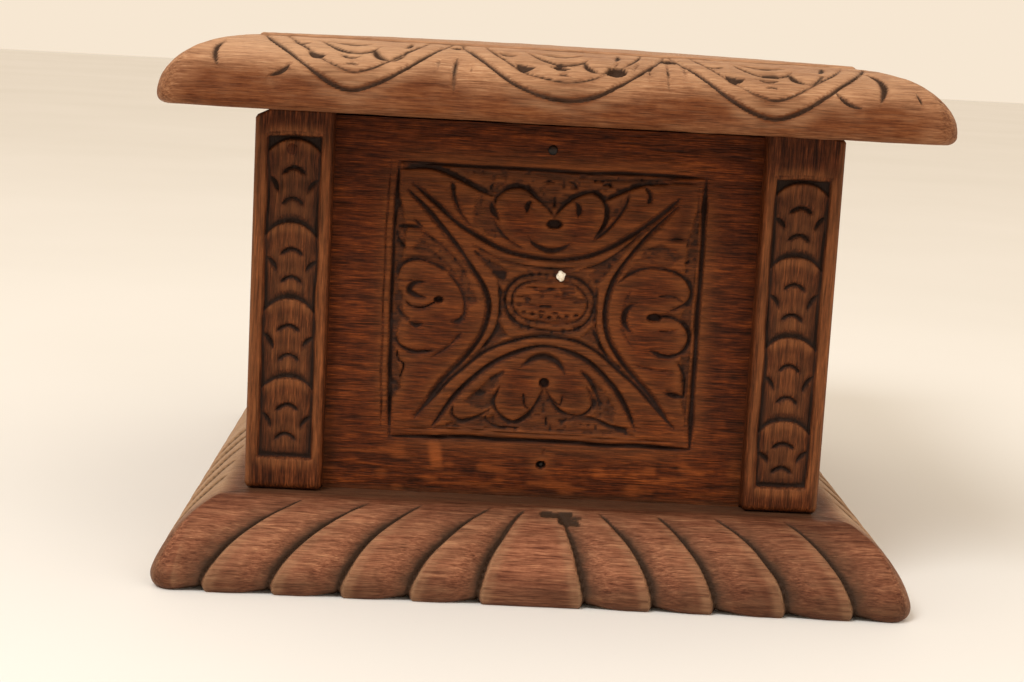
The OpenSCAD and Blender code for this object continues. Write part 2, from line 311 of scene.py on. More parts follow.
def slab(name, half_l, face_y, turn, relief, spacing, material):
    """A wall panel with a carved face towards -Y, turned about Z into its place."""
    z_low, z_high = FRONT_LOW[2], FRONT_HIGH[2]
    x, z = np.meshgrid(np.linspace(-half_l, half_l, int(2 * half_l / spacing)),
                       np.linspace(z_low, z_high, int((z_high - z_low) / spacing)))
    depth, ground = relief(x, z)
    wear = wear_of(depth, max(1, round(1.6 / spacing)), ground, 1.6)
    wear["tone"], wear["pale"] = panel_tone(x, z), panel_flecks(x, z)
    verts, faces = backed(np.stack([x, face_y + depth, z], -1), 1, face_y + PANEL_T)
    behind = np.zeros(len(verts) - x.size)
    attributes = {key: np.concatenate([v.ravel(), behind]) for key, v in wear.items()}
    return add_object(name, turned(verts, turn), faces, "box", name, "oak_panel", material,
                      attributes)


# ---------------------------------------------------------------- the carved square
# Every cut is (points, width, depth, side), as Relief.carve takes it; points are across from the
# box's middle and up from the ground. LINES keep their width, GOUGES are crescents that swell in
# the middle.
BOSS_FIELD = [(2, 79.8), (8, 79), (11.6, 75.8), (11.8, 72), (8.6, 69), (2.4, 68.2),
              (-4.2, 69.2), (-7.5, 72), (-7.6, 76), (-4.4, 79)]
SQUARE_LINES = [
    # the frame round the square
    ([(-38.6, 108.4), (-38.9, 73), (-38.2, 36.7)], 1.8, 1.1),
    ([(-40.7, 109.5), (-41, 75), (-40.4, 37)], 1.0, 0.45),
    ([(-38.6, 108.3), (0, 108.1), (40.8, 108.3)], 1.8, 1.2),
    ([(11, 106.2), (27, 106.8), (39.5, 107)], 0.9, 0.5, -1),
    ([(-38.4, 36.7), (0, 37.1), (40.8, 36.6)], 1.8, 1.3),
    ([(-37.8, 38.6), (-26, 39.2), (0, 38.9), (20, 38.7), (39.5, 38.2)], 0.8, 0.5),
    ([(40.8, 108.4), (40.6, 72), (41, 36.7)], 2.4, 1.3),
    ([(39.2, 106.8), (39.4, 90), (38.9, 72), (39.6, 40)], 0.8, 0.4),
    # the arcs that part the four flowers
    ([(-35, 103), (-28, 97.2), (-21, 92), (-12, 87.3), (-3, 85.3), (6, 85.2), (14, 87.2),
      (22, 91.8), (29, 97.3), (34, 102)], 1.5, 1.2, 1),
    ([(-19, 88.3), (-12, 85), (-4, 83.3), (4, 83), (10, 83.8)], 1.0, 0.7, -1),
    ([(-36, 101.5), (-30, 96.2), (-24.5, 90.5), (-19, 83), (-14.8, 77), (-13.4, 71.5),
      (-14.8, 65), (-18, 59.7), (-23, 53.5), (-28, 47), (-31.5, 42)], 1.5, 1.1, -1),
    ([(-11.6, 79), (-11, 72), (-12, 66), (-15.5, 60.5)], 1.0, 0.7, 1),
    ([(9.5, 83), (14, 84.4), (18.5, 87.3), (24, 92.3), (30, 98.2), (34, 102.4)], 1.2, 0.9, -1),
    ([(34, 100.5), (28, 94.5), (23.5, 89), (19.5, 83), (17, 77), (16.4, 71), (17.6, 65.5),
      (20.5, 60.5), (25, 55), (30, 49.8), (35.5, 43)], 1.4, 1.1, 1),
    ([(14.4, 79), (14.4, 73), (14.6, 68), (16.6, 62.5), (19.8, 58)], 1.0, 0.8, -1),
    ([(-31.5, 42.5), (-26, 48.5), (-20, 55), (-13, 60.8), (-5, 63.8), (2, 64.6), (9, 64.2),
      (15, 61.5), (21, 56.8), (27, 51.5), (33, 45.5), (36.5, 42)], 1.3, 1.1, 1),
    ([(-27, 40), (-23, 46.5), (-17, 53.5), (-10, 58.8), (-3, 61.6), (4, 62.2), (10, 60.8),
      (15.5, 57.5), (20.5, 52.5), (24.5, 46), (26.3, 41.5)], 1.5, 1.2, -1),
    # the top flower: a wavy edge, two round lobes and side leaves
    ([(-38, 106.4), (-30, 107), (-24, 105), (-18.5, 102.6), (-14, 100.6)], 1.5, 1.0, 1),
    ([(-13.6, 98), (-13, 100.6), (-10, 102.8), (-6, 102.9), (-3, 100.6), (0, 98.4), (2, 96)],
     1.2, 1.0, 1),
    ([(2, 96), (4, 98.8), (7, 101.4), (11, 103), (14, 101.3), (15.2, 98), (14.6, 94.5),
      (12.5, 91)], 1.2, 1.0, 1),
    ([(14.5, 100.8), (19, 103), (24, 105.2), (32, 106.2)], 1.2, 0.9, 1),
    ([(-24.6, 104.6), (-24, 100.5), (-22, 96), (-18.5, 92)], 1.1, 0.8, -1),
    ([(-13.6, 98), (-13.4, 94.5), (-10, 90.4), (-5, 87.4)], 0.8, 0.5, -1),
    ([(21, 103.6), (20.4, 100), (17, 94.5), (13, 90.8)], 1.2, 0.9, -1),
    ([(25, 105), (26.3, 103), (26, 100.8)], 1.1, 0.8, 1),
    ([(-33.5, 102.6), (-30, 99.6), (-27, 97.2)], 0.8, 0.4, 1),
    ([(1.9, 101.5), (1.8, 98.5)], 1.0, 0.8),
    # the left flower
    ([(-37.6, 78.6), (-36.4, 82), (-33, 83.6), (-29, 82.8), (-25, 80.8)], 1.3, 0.9, 1),
    ([(-25, 80.8), (-21.5, 76.5), (-20, 72), (-20.4, 68)], 1.0, 0.7, 1),
    ([(-37.6, 64), (-36.4, 61.2), (-32.5, 59.6), (-28, 59.9)], 1.1, 0.9, -1),
    ([(-35.6, 72.8), (-33.5, 71.2), (-30.5, 71), (-28, 72.2), (-25.4, 73.4)], 0.9, 0.8),
    ([(-37.5, 78), (-35.5, 77.9), (-33.4, 78.2)], 0.9, 0.6),
    ([(-37.3, 71), (-36, 69.2), (-34, 67.8)], 1.0, 0.7, -1),
    ([(-38.4, 92), (-37.8, 89), (-35.6, 86.4)], 1.0, 0.7),
    ([(-37, 60), (-36.5, 57.2), (-35, 55.8), (-36, 52)], 0.9, 0.7),
    ([(-33.5, 92), (-28, 88.6), (-23, 84), (-19.6, 79)], 0.7, 0.35, 1),
    ([(-35, 86.5), (-30, 86), (-25.6, 83), (-22.4, 79.6)], 0.7, 0.35, 1),
    ([(-28, 58), (-24, 61), (-20.6, 65)], 0.8, 0.4, -1),
    # the right flower
    ([(20, 80), (23, 82.4), (27, 84), (32, 83.7), (36, 82), (38.3, 79), (38, 76),
      (35.6, 74.2), (33, 73)], 1.1, 0.9, 1),
    ([(30, 76.8), (34, 76.9), (37, 75.4)], 0.9, 0.6),
    ([(30, 71.7), (34, 71.4), (37, 69.9), (38.6, 67.4), (38, 64), (36, 61.9), (33, 61.3),
      (29, 62.5)], 1.2, 1.0, 1),
    ([(30.5, 67.9), (33, 67.7), (36, 68.4)], 0.8, 0.5),
    ([(32, 91.8), (36.6, 92.2), (36.5, 90)], 0.9, 0.6),
    ([(24.5, 58.6), (30, 57.4), (36, 57)], 0.8, 0.4),
    ([(36, 60), (38.4, 56), (38.6, 50.5)], 1.1, 0.8),
    ([(24, 63.5), (21.6, 68), (21.6, 73), (23, 78)], 0.7, 0.35, 1),
    ([(23, 88.5), (29, 89.4), (35, 89.6)], 0.8, 0.4),
    ([(22, 85.6), (28, 87), (33, 86.6)], 0.7, 0.35),
    # the bottom flower
    ([(1.7, 51), (0, 47.4), (-2.5, 44), (-6, 42.1), (-9.5, 44), (-11, 47), (-9.6, 51)],
     1.1, 1.0, 1),
    ([(2.4, 51), (5, 47), (8, 45), (12, 44.5), (14.4, 46.3), (14.8, 49), (13, 52)],
     1.1, 1.0, -1),
    ([(-3.4, 49.6), (-3, 46.6), (-1.7, 45.4)], 1.0, 0.7),
    ([(4, 48.6), (6.3, 47), (7, 50)], 0.9, 0.7),
    ([(-21.6, 46), (-21.7, 43), (-19, 41.6), (-15, 43), (-11.4, 45.4)], 0.9, 0.8, -1),
    ([(-11.4, 45.4), (-13, 42.4), (-10, 40.6), (-4, 40.4)], 0.8, 0.5, -1),
    ([(8, 44.4), (15, 43.8), (20, 42), (25.6, 41.4)], 1.0, 0.8, -1),
    ([(11, 56.5), (14, 53), (16, 49.6), (17, 46)], 1.0, 0.7, 1),
    ([(2.8, 43.6), (3, 41)], 0.9, 0.6),
    # the oval boss: its rings
    ([(2, 81.4), (9, 80.3), (13.2, 76.5), (13.3, 71.5), (9.8, 67.6), (2.5, 66.4), (-5, 67.7),
      (-9, 71.4), (-9.2, 76.2), (-5.6, 80.2), (2, 81.4)], 1.0, 0.7, 1),
    (BOSS_FIELD + BOSS_FIELD[:1], 0.8, 0.6, -1),
    ([(-8, 77), (-3, 77.6), (4, 77.2)], 0.8, 0.4, 1),
    ([(-7.4, 73.6), (-4, 73.1), (0, 72.6)], 1.2, 0.4, -1),
    ([(3, 75.6), (6, 75.2), (9.6, 75.6)], 1.2, 0.35, 1),
]
SQUARE_GOUGES = [
    ([(-38.3, 106.4), (-33, 107.2), (-28, 106.4)], 1.5, 0.8),
    ([(-4.6, 91.2), (-2.6, 88.8), (1.2, 87.5), (4.8, 88.3), (7.4, 90.4)], 2.3, 1.3),
    ([(-3.4, 100), (-5, 99), (-5.3, 96.4)], 1.7, 1.1),
    ([(6.4, 101), (8, 99), (7.9, 96)], 1.8, 1.1),
    ([(-14.4, 100), (-13.9, 97), (-12, 94.2)], 1.9, 1.2),
    ([(-25.2, 104.8), (-24.4, 102.4), (-24.6, 100.4)], 1.5, 0.9),
    ([(-13.4, 104.4), (-14.6, 103.2), (-14.4, 101.4)], 1.0, 0.7),
    ([(4.8, 105.6), (6.6, 105.2), (8, 103.2)], 1.1, 0.7),
    ([(13.4, 104.6), (15.2, 105.2), (17, 104.2)], 1.0, 0.7),
    ([(-1.6, 104.9), (0.2, 105.3), (2, 104.8)], 0.8, 0.6),
    ([(-29, 78), (-33, 77.4), (-34.4, 75.4), (-32.2, 74), (-29, 73.5)], 2.0, 1.1),
    ([(-34.6, 67.4), (-32.4, 66.4), (-30, 67.1)], 1.6, 1.0),
    ([(-38.4, 91.8), (-35, 92.1), (-31, 91.8)], 1.5, 1.0),
    ([(-34.4, 94.4), (-32.6, 92.8), (-31.2, 91.6)], 1.1, 0.7),
    ([(-23.4, 67.6), (-21.2, 68.4), (-20, 70.4)], 1.2, 0.8, -1),
    ([(25, 75.4), (22.2, 73), (21.9, 69.6), (24.2, 66.4)], 2.1, 1.2),
    ([(31.5, 91.8), (34.5, 92.2), (37, 91.8)], 1.2, 0.8),
    ([(36, 86), (37.2, 86.2), (37.6, 87.2)], 0.9, 0.6),
    ([(33, 51.6), (36, 51), (39.2, 50.4)], 1.9, 1.2),
    ([(-4.8, 56.2), (-1.2, 58.9), (2.2, 59.4), (5.2, 58), (7.4, 54.6)], 2.7, 1.5),
    ([(-17, 50.4), (-15.4, 49), (-12.6, 49.6)], 2.2, 0.6),
    ([(13.6, 50.4), (15.2, 48), (15, 45.2)], 1.9, 1.2),
    ([(6, 43), (7.4, 42.6), (8.6, 43.4)], 1.0, 0.7),
]
SQUARE_EYES = [(2.2, 94.3, 2.1, 1.2), (1.9, 52.5, 1.3, 1.3), (29.6, 71.4, 2.1, 1.1),
               (-26.6, 73.2, 1.2, 0.9)]
# Sunk grounds: (outline, depth)
SQUARE_GROUNDS = [
    # above the top flower, and beside its lobes
    ([(-37, 107.6), (-30, 107.4), (-24, 105.2), (-14, 101), (-12, 102.8), (-6, 103.2),
      (-2, 100.4), (2, 98.2), (6, 101.2), (11, 103.4), (14.6, 101), (24, 105.4), (33, 107.6)],
     0.6),
    ([(-18, 102), (-14.4, 100.4), (-14.2, 95), (-10, 90), (-14, 90), (-19, 94)], 0.4),
    ([(15.4, 100.2), (19.8, 102.4), (19.4, 99.6), (15.8, 94.6), (13.6, 92.6), (15, 96)], 0.45),
    # beside the left and right frame
    ([(-38.2, 100), (-38.4, 46), (-35.6, 50), (-36, 54), (-37.8, 63), (-35.5, 69), (-36, 74),
      (-38, 79), (-36.4, 84), (-35.6, 92)], 0.55),
    ([(39.4, 100), (39.2, 46), (38, 50), (37.6, 54), (37, 61), (38.8, 66), (36.4, 72),
      (38.4, 78), (36.4, 83), (37, 92)], 0.55),
    # outside the side flowers' lobes
    ([(-34, 86), (-28, 83.8), (-22, 78.6), (-19, 72), (-16.6, 73), (-20, 82), (-26, 88.4),
      (-31, 90.6)], 0.3),
    ([(21.6, 82.6), (27, 85), (33, 85), (36, 88), (30, 90.6), (26, 89)], 0.3),
    # below the bottom flower, and the pockets beside its lobes
    ([(-26, 39.6), (-21, 41.2), (-13, 43), (-10.6, 43.6), (-6, 41.6), (0, 46), (2, 49.8),
      (5, 46), (9, 43.8), (15, 43.6), (24, 41), (26, 39.6)], 0.55),
    ([(-18.6, 46.5), (-12.4, 53.4), (-8.8, 55.2), (-11.6, 50), (-11.4, 46.4), (-14, 44.4)],
     0.6),
    ([(15.4, 50), (13, 55.4), (17.4, 52), (21, 46.4), (20.6, 42.8), (15.6, 44.2)], 0.55),
    # the four pockets between the arcs, and the ground round the boss
    ([(-18, 86.2), (-13.6, 84), (-8.6, 81.6), (-10.4, 78.4), (-12.4, 80)], 0.8),
    ([(21, 88), (15.6, 84.6), (11.6, 81.6), (13.6, 79), (15.6, 80.4)], 0.7),
    ([(-18, 58.4), (-13, 62), (-8.4, 65), (-10.8, 68), (-13.2, 64)], 0.7),
    ([(21.6, 57.6), (16.6, 61.8), (10.8, 65.4), (13.4, 68.4), (15.8, 64)], 0.7),
]
BOSS_GROUND = [(-9, 82), (2, 83.4), (11.4, 82.4), (14.4, 78), (14.4, 70), (11, 66), (2.4, 64.8),
               (-6, 66), (-11, 70), (-11.2, 77)]
BOSS_DOTS = 7  # punched in a row along the boss
FRONT_SQUARE_W = 81
SIDE_SQUARE_W = 118
LINE_THIN = 0.8  # the square's lines are cut this much thinner than SQUARE_LINES says


def carve_square(relief):
    """A square of four arcs with a flower in each, and an oval boss in the middle."""
    relief.carve(SQUARE_LINES, thin=LINE_THIN)
    relief.carve(SQUARE_GOUGES, crescent=True)
    for x, z, rx, rz in SQUARE_EYES:
        relief.hole(x, z, rx, rz, 1.6)
    for outline, depth in SQUARE_GROUNDS:
        relief.sink(outline, depth, 0.8)
    relief.sink(BOSS_GROUND, 0.35, 0.8, spared=BOSS_FIELD)
    for k in range(BOSS_DOTS):
        relief.hole(-4.6 + 2.3 * k, 70.4 + 0.5 * math.cos(k), 0.7, 0.6, 0.55)
    hacked = smooth_step(noise(relief.x / 2.4, relief.y, 0.8, 12), 0.1, 0.7)
    relief.slope = np.maximum(relief.slope, 0.5 * hacked * relief.inside(BOSS_FIELD, 0.8))


def rough_ground(relief, x, z, seed):
    """Punch and chisel marks left in the sunk grounds, and the wax that fills them."""
    level = smooth_step(relief.ground, 0.12, 0.35)
    marks = 0.3 * smooth_step(noise(x, z, 1.0, seed), 0.1, 0.8) + 0.1 * noise(x, z, 2.1, seed + 1)
    return relief.depth() + marks * level, 0.9 * level


def panel_ground(x, z, seed):
    """A planed board's faint waves."""
    return 0.06 * noise(x / 5, z, 7, seed) + 0.02 * noise(x / 12, z, 0.9, seed + 1)


def panel_tone(x, z):
    """Darker beside the square, warmer below it."""
    tone = 0.56 - 0.2 * smooth_step(x, 38, 48) + 0.12 * smooth_step(36 - z, 0, 5)
    return tone + 0.1 * noise(x / 2, z, 6, 14)


def panel_flecks(x, z):
    """Bright rays in the oak, mostly in the strip below the square."""
    low = smooth_step(36.5 - z, 0, 3)
    flecks = smooth_step(noise(x / 3.4, z, 1.3, 8), 0.1, 0.9) * (0.14 + 0.34 * low)
    ray = np.exp(-((x + 25.5 + 0.15 * (z - 31)) / 1.7) ** 4 - ((z - 32) / 3.6) ** 4)
    return np.maximum(flecks, 0.9 * ray)


NAIL_PIT = (2.2, 30.6, 1.25, 1.1, 1.7)  # the lower nail's head lies in it
NAIL_SCRATCH = [(2.9, 35.4), (2.6, 33.4)]


def front_relief(x, z):
    """The carved square, the lower nail's pit, and painted shade towards the posts and along the
    base.
    """
    relief = Relief(x, z)
    carve_square(relief)
    relief.hole(*NAIL_PIT)
    relief.groove(NAIL_SCRATCH, 0.7, 0.3)
    depth, ground = rough_ground(relief, x, z, 5)
    # Painted shade on the panel beside the posts, and a painted shadow along its foot above the
    # base.
    painted_shade_by_posts = smooth_step(np.abs(x), 49, 55) * smooth_step(60 - z, 0, 30)
    painted_shadow_by_base = smooth_step(BASE_TOP + 2.2 - z, 0, 2.2)
    return depth + panel_ground(x, z, 11), np.maximum(ground, np.maximum(0.5 * painted_shade_by_posts, painted_shadow_by_base))


def side_relief(seed):
    """The same carving, drawn out to the longer side panels."""
    def carve(x, z):
        relief = Relief(x * FRONT_SQUARE_W / SIDE_SQUARE_W, z, seed)
        carve_square(relief)
        depth, ground = rough_ground(relief, x, z, seed)
        return depth + panel_ground(x, z, seed + 3), ground
    return carve


def back_relief(x, z):
    """The back is planed and plain."""
    return panel_ground(x, z, 41), np.zeros(x.shape)


# ---------------------------------------------------------------- corner posts
POST_EDGE_R = 1.5
FIELD_LEFT, FIELD_RIGHT = 3.4, 17  # the sunk field's sides, from the post's outer edge
FINE_STEP = 0.3  # between a carved face's points, across the post
RISE_STEP = 0.35  # and up the post
SCALE_H = 20.6  # the height that a scale's cuts are drawn for
# A scale's cuts, from the middle of its head
SCALE_LINES = [
    ([(-2.9, -8.8), (-1.7, -7.7), (0, -7.1), (1.7, -7.6), (2.9, -8.7)], 0.8, 0.85, -1),
    ([(-2.8, -16.4), (-1.6, -15.2), (0, -14.7), (1.6, -15.2), (2.8, -16.3)], 0.8, 0.8, -1),
]
SCALE_GOUGES = [
    ([(-6.4, -3.4), (-3.4, -0.7), (0, 0.1), (3.4, -0.7), (6.4, -3.4)], 1.5, 0.6, 1),
    ([(-6.9, -9.4), (-5.4, -10), (-4.2, -11.6), (-3.5, -14)], 0.95, 0.9, -1),
    ([(3.5, -13.8), (4, -11.9), (5.2, -10.6), (6.9, -10)], 0.95, 0.9, -1),
]


def post_relief(u, z, top, heads, seed):
    """A post's sunk field of stacked round-headed scales, and the ground's wax. u runs from the
    outer edge; heads lists how far each scale's head lies below the top, then the field's foot.
    Each scale slopes down to the next one's head."""
    relief = Relief(u, z, seed, 0.3)
    bottom = top - heads[-1]
    left, right = FIELD_LEFT, FIELD_RIGHT
    middle, half = (left + right) / 2, (right - left) / 2
    x, zz = relief.x - middle, relief.y
    relief.carve([
        ([(left, bottom), (left, top)], 0.8, 0.5, -1),
        ([(right, bottom), (right, top)], 0.8, 0.5, 1),
        ([(left, bottom), (right, bottom)], 1.0, 0.5, 1),
        ([(left - 0.4, top + 1.2), (middle, top + 1.5), (right + 0.4, top + 1.2)], 0.9, 0.35, -1),
    ])
    relief.sink([(left, bottom), (right, bottom), (right, top + 0.6), (left, top + 0.6)],
                0.45, 0.6)
    head = 3.4 * (np.clip(np.abs(x) / half, 0, 1.2) ** 2.4)
    scales = np.full(u.shape, 0.9)
    for start, end in zip(heads[:-1], heads[1:]):
        below = (top - start - head) - zz
        body = 0.05 + 0.8 * np.clip(below / (end - start), 0, 1) ** 0.8
        scales = np.where(below > 0, 0.9 + (body - 0.9) * smooth_step(below, 0, 0.9), scales)
        place = (middle, top - start, (end - start) / SCALE_H)
        relief.carve(SCALE_LINES, False, *place)
        relief.carve(SCALE_GOUGES, True, *place)
    inside = smooth_step(half - np.abs(x), 0, 0.5) * smooth_step(zz - bottom, 0, 0.6)
    inside = inside * smooth_step(top + 0.6 - zz, 0, 0.6)
    depth = relief.depth() + 0.8 * scales * inside
    wax = inside * np.clip(0.2 + 0.8 * scales, 0, 1)
    return depth + 0.05 * noise(u, z / 3, 2, seed + 5), wax


def post_section():
    """A post's outline from its outer corner: points, outward normals, and for points on the
    two outer faces how far they lie from the outer corner."""
    s, r = POST_S, POST_EDGE_R
    low, high, deep = RECESS, RECESS + PANEL_T, s - TONGUE
    rows = []

    def line(p, q, normal=(0, 0), step=9, which=0):
        n = max(1, round(math.dist(p, q) / step))
        for t in np.arange(n) / n:
            rows.append((p[0] + (q[0] - p[0]) * t, p[1] + (q[1] - p[1]) * t, *normal, which))

    def arc(cx, cy, start):
        for a in (math.radians(start + 15 * k) for k in range(6)):
            out = math.cos(a), math.sin(a)
            rows.append((cx + r * out[0], cy + r * out[1], *out, 0))

    line((r, 0), (s - r, 0), (0, -1), FINE_STEP, 1)
    arc(s - r, r, -90)
    line((s, r), (s, low), (1, 0), 2)
    line((s, low), (deep, low))
    line((deep, low), (deep, high))
    line((deep, high), (s, high))
    line((s, high), (s, s - r), (1, 0), 2)
    arc(s - r, s - r, 0)
    line((s - r, s), (high, s), (0, 1), 2)
    line((high, s), (high, deep))
    line((high, deep), (low, deep))
    line((low, deep), (low, s))
    line((low, s), (r, s), (0, 1), 2)
    arc(r, s - r, 90)
    line((0, s - r), (0, r), (-1, 0), FINE_STEP, 2)
    arc(r, r, 180)
    rows = np.array(rows, float)
    return rows[:, :2], rows[:, 2:4], rows[:, 4]


# how far each scale's head lies below the field's top, then the field's foot
LEFT_HEADS = (0, 21.4, 41, 61.2, 82.8)
RIGHT_HEADS = (0, 19, 40, 62, 80)
LEFT_TOP, RIGHT_TOP = 113.4, 108.9


def post(name, sx, sy, carved, material, top=LEFT_TOP, heads=LEFT_HEADS, bevel=1.1):
    """A corner post. carved lists its carved outer faces: 1 towards +-Y, 2 towards +-X. bevel is
    how far its worn outer top corner drops."""
    points, normals, face = post_section()
    zs = np.linspace(BASE_TOP, LID_Z, round((LID_Z - BASE_TOP) / RISE_STEP))
    x = np.repeat(points[None, :, 0], len(zs), 0)
    y = np.repeat(points[None, :, 1], len(zs), 0)
    z = np.repeat(zs[:, None], len(points), 1)
    depth, wax = np.zeros(x.shape), np.zeros(x.shape)
    for which in carved:
        at = face == which
        u = x[:, at] if which == 1 else y[:, at]
        seed = 20 + which + 2 * sx + 5 * sy
        depth[:, at], wax[:, at] = post_relief(u, z[:, at], top, heads, seed)
    wear = wear_of(depth, 5, wax)
    ease = lambda d, r: r - np.sqrt(np.maximum(r * r - np.clip(r - d, 0, r) ** 2, 0))
    inset = depth + ease(z - BASE_TOP, 2.0) + ease(LID_Z - z, 0.35)
    x = x - normals[None, :, 0] * inset
    y = y - normals[None, :, 1] * inset
    inner, outer = np.maximum(x, y), np.minimum(x, y)
    worn = bevel * np.clip(1 - x / 4.2, 0, 1) + 0.4 * np.clip(1 - y / 3, 0, 1)
    z = z - worn * smooth_step(z, LID_Z - 9, LID_Z)
    rubbed = 0.7 * np.clip(1.6 - inner + outer, 0, 1) * (inner < 3)
    wear["edge"] = np.maximum(wear["edge"], rubbed)
    # Painted shadow along the post's foot, where it meets the base.
    wear["cav"] = np.maximum(wear["cav"], smooth_step(BASE_TOP + 1.2 - z, 0, 1.2))
    wear["tone"] = np.full(x.shape, 0.5)
    wear["pale"] = 0.35 * np.clip(1 - inner / 2.2, 0, 1)
    verts = np.stack([sx * (HALF_W - x), sy * (HALF_D - y), z], -1).reshape(-1, 3)
    faces = tube_faces(*x.shape, flip=sx * sy < 0)
    return add_object(name, verts, faces, "box", name, "oak_post", material, wear)


# ---------------------------------------------------------------- moulded boards
def lengths_along(points):
    """How far along a line of points each of them lies."""
    return np.concatenate([[0], np.cumsum(np.linalg.norm(np.diff(points, axis=0), axis=1))])


ARC_POINTS = 14  # round each corner


def board_ring(half_x, half_y, corner_r, fine, coarse):
    """A board's edge seen from above, as a row of values for each point: its place between the
    corners, from -1 to 1 along x and y, its outward direction, and which edge it belongs to: 0
    the front, then round by the right. The front's points are fine apart."""
    rows = []
    corners = ((-1, -1), (1, -1), (1, 1), (-1, 1))
    for k, (a, b) in enumerate(zip(corners, corners[1:] + corners[:1])):
        angle = 90 * k - 90
        length = 2 * ((half_y if k % 2 else half_x) - corner_r)
        n = round(length / (coarse if k else fine))
        facing = math.cos(math.radians(angle)), math.sin(math.radians(angle))
        for t in np.linspace(0, 1, n, endpoint=False):
            rows.append((a[0] + (b[0] - a[0]) * t, a[1] + (b[1] - a[1]) * t, *facing, k))
        for m in range(ARC_POINTS):
            turn = math.radians(angle + 90 * m / ARC_POINTS)
            nearer = k if m < ARC_POINTS / 2 else (k + 1) % 4
            rows.append((*b, math.cos(turn), math.sin(turn), nearer))
    return np.array(rows, float).T


def moulded_board(name, half_x, half_y, shift, corner_r, profile, carve, body, slot, material,
                  tone, pale, rise=None, soft=0.0, fine=0.48, coarse=0.88):
    """A board whose edges follow profile, an array of (inset, z) from the top's middle out and
    round to the underside, moved by shift in x. carve gives the depth cut and the wax at (place
    along the edge, arc length, edge); rise lifts the parts of a warped board."""
    sx, sy, c, s, edge = board_ring(half_x, half_y, corner_r, fine, coarse)
    inset, z = profile[:, 0], profile[:, 1]
    steps = np.gradient(profile, axis=0)
    length = np.linalg.norm(steps, axis=1)
    out, up = steps[:, 1] / -length, -steps[:, 0] / length
    v = lengths_along(profile)
    r = np.maximum(corner_r - 0.6 * inset, 0.8)[:, None]
    d = inset[:, None]
    x = sx * (half_x - d - r) + r * c + shift
    y = sy * (half_y - d - r) + r * s
    along = np.select([edge == 0, edge == 1, edge == 2], [x, y, -x], -y)
    vv = np.repeat(v[:, None], x.shape[1], 1)
    depth, ground = np.zeros(x.shape), np.zeros(x.shape)
    for k in range(4):
        at = edge == k
        depth[:, at], ground[:, at] = carve(along[:, at], vv[:, at], k)
    wear = wear_of(depth, 4, ground, soft)
    nx, ny, nz = c * out[:, None], s * out[:, None], up[:, None]
    height = z[:, None] - nz * depth
    if rise:
        height = height + rise(x, y, z[:, None])
    verts = np.stack([x - nx * depth, y - ny * depth, height], -1).reshape(-1, 3)
    place = (along, vv, z[:, None] + 0 * x, edge[None, :] + 0 * x)
    wear["tone"], wear["pale"] = tone(*place), pale(*place)
    return add_object(name, verts, tube_faces(*x.shape, flip=True), body, name, slot, material,
                      wear)


def resampled(points, spacing):
    """Points along a polyline at an even spacing, with its corners kept close."""
    v = lengths_along(points)
    at = np.linspace(0, v[-1], max(2, round(v[-1] / spacing)))
    return np.stack([np.interp(at, v, points[:, k]) for k in (0, 1)], -1)


BASE_OVER = BASE_HIGH[0] - HALF_W
BASE_LEDGE = 6.5  # the flat ledge's width
BASE_BULGE_Z = 3.8  # the height of the widest place
BASE_FOOT = 1.6  # how far the foot draws in below it
BASE_MIDDLE = 45  # the inset at which the profile starts, hidden under the floor
# where the grooves between the lobes start by the ledge and end at the foot, from the middle
# of each edge outwards: the front's left and right halves, then each half of the other edges
FRONT_LEFT = ((2.3, 13), (10.5, 30.5), (28.5, 48), (42, 65.5), (59, 82.6))
FRONT_RIGHT = ((6.7, 13.7), (17, 31.4), (32, 47.2), (47.6, 65.5), (65.5, 82.5))
BACK_HALF = ((4.5, 13), (16.5, 30.5), (31.5, 48), (46.5, 65.5), (63, 82.5))
SIDE_HALF = ((7, 15.3), (23, 35.6), (40, 56), (58, 76.3), (76, 96.6))
LOBE_START, LOBE_END = 7, 33  # arc lengths from the wall


def base_profile():
    """From the base's hidden middle over the ledge, down the swelling slope, round the foot."""
    slope_w = BASE_OVER - BASE_LEDGE
    q = np.linspace(90, 0, 19)
    t = np.radians(q)
    slope = np.stack([slope_w * ((1 - np.cos(t)) + q / 90) / 2,
                      BASE_BULGE_Z + (BASE_TOP - BASE_BULGE_Z) * (np.sin(t) + q / 90) / 2], -1)
    foot = np.stack([BASE_FOOT * (1 - np.sin(t)), BASE_BULGE_Z * (1 - np.cos(t))], -1)
    edge = resampled(np.vstack([[(BASE_OVER, BASE_TOP)], slope, foot[1:]]), 0.48)
    for _ in range(5):
        edge[1:-1] = (edge[:-2] + edge[1:-1] + edge[2:]) / 3
    ledge = [(d, BASE_TOP) for d in (BASE_MIDDLE, BASE_OVER + 6, BASE_OVER + 1)]
    return np.vstack([ledge, edge, [(8, 0), (40, 0)]])


BASE_V0 = BASE_MIDDLE - BASE_OVER  # the arc length at which the ledge starts


def lobe_lines(along, t, edge):
    """How far out each groove lies at t, from 0 at the ledge to 1 at the foot."""
    halves = {0: (FRONT_LEFT, FRONT_RIGHT), 2: (BACK_HALF, BACK_HALF)}.get(
        edge, (SIDE_HALF, SIDE_HALF))
    sweep = 1 - (1 - t) ** 1.65
    lines = [np.where(along < 0, a[0] + (a[1] - a[0]) * sweep, b[0] + (b[1] - b[0]) * sweep)
             for a, b in zip(*halves)]
    return [0 * t] + lines + [lines[-1] + 24]


def base_knot(x, v):
    """1 in the dark ragged knot below the front's ledge, and 0 outside it."""
    knot = np.exp(-((x - 6.5) / 5.2) ** 4 - ((v - 8.2) / 1.5) ** 4)
    knot = np.maximum(knot, np.exp(-((x - 9.6) / 3.2) ** 4 - ((v - 10) / 2) ** 4))
    ragged = knot * (1 + 0.7 * noise(x / 2, v, 1.3, 3) + 0.4 * noise(x, v, 0.9, 4))
    return smooth_step(ragged, 0.35, 0.75)


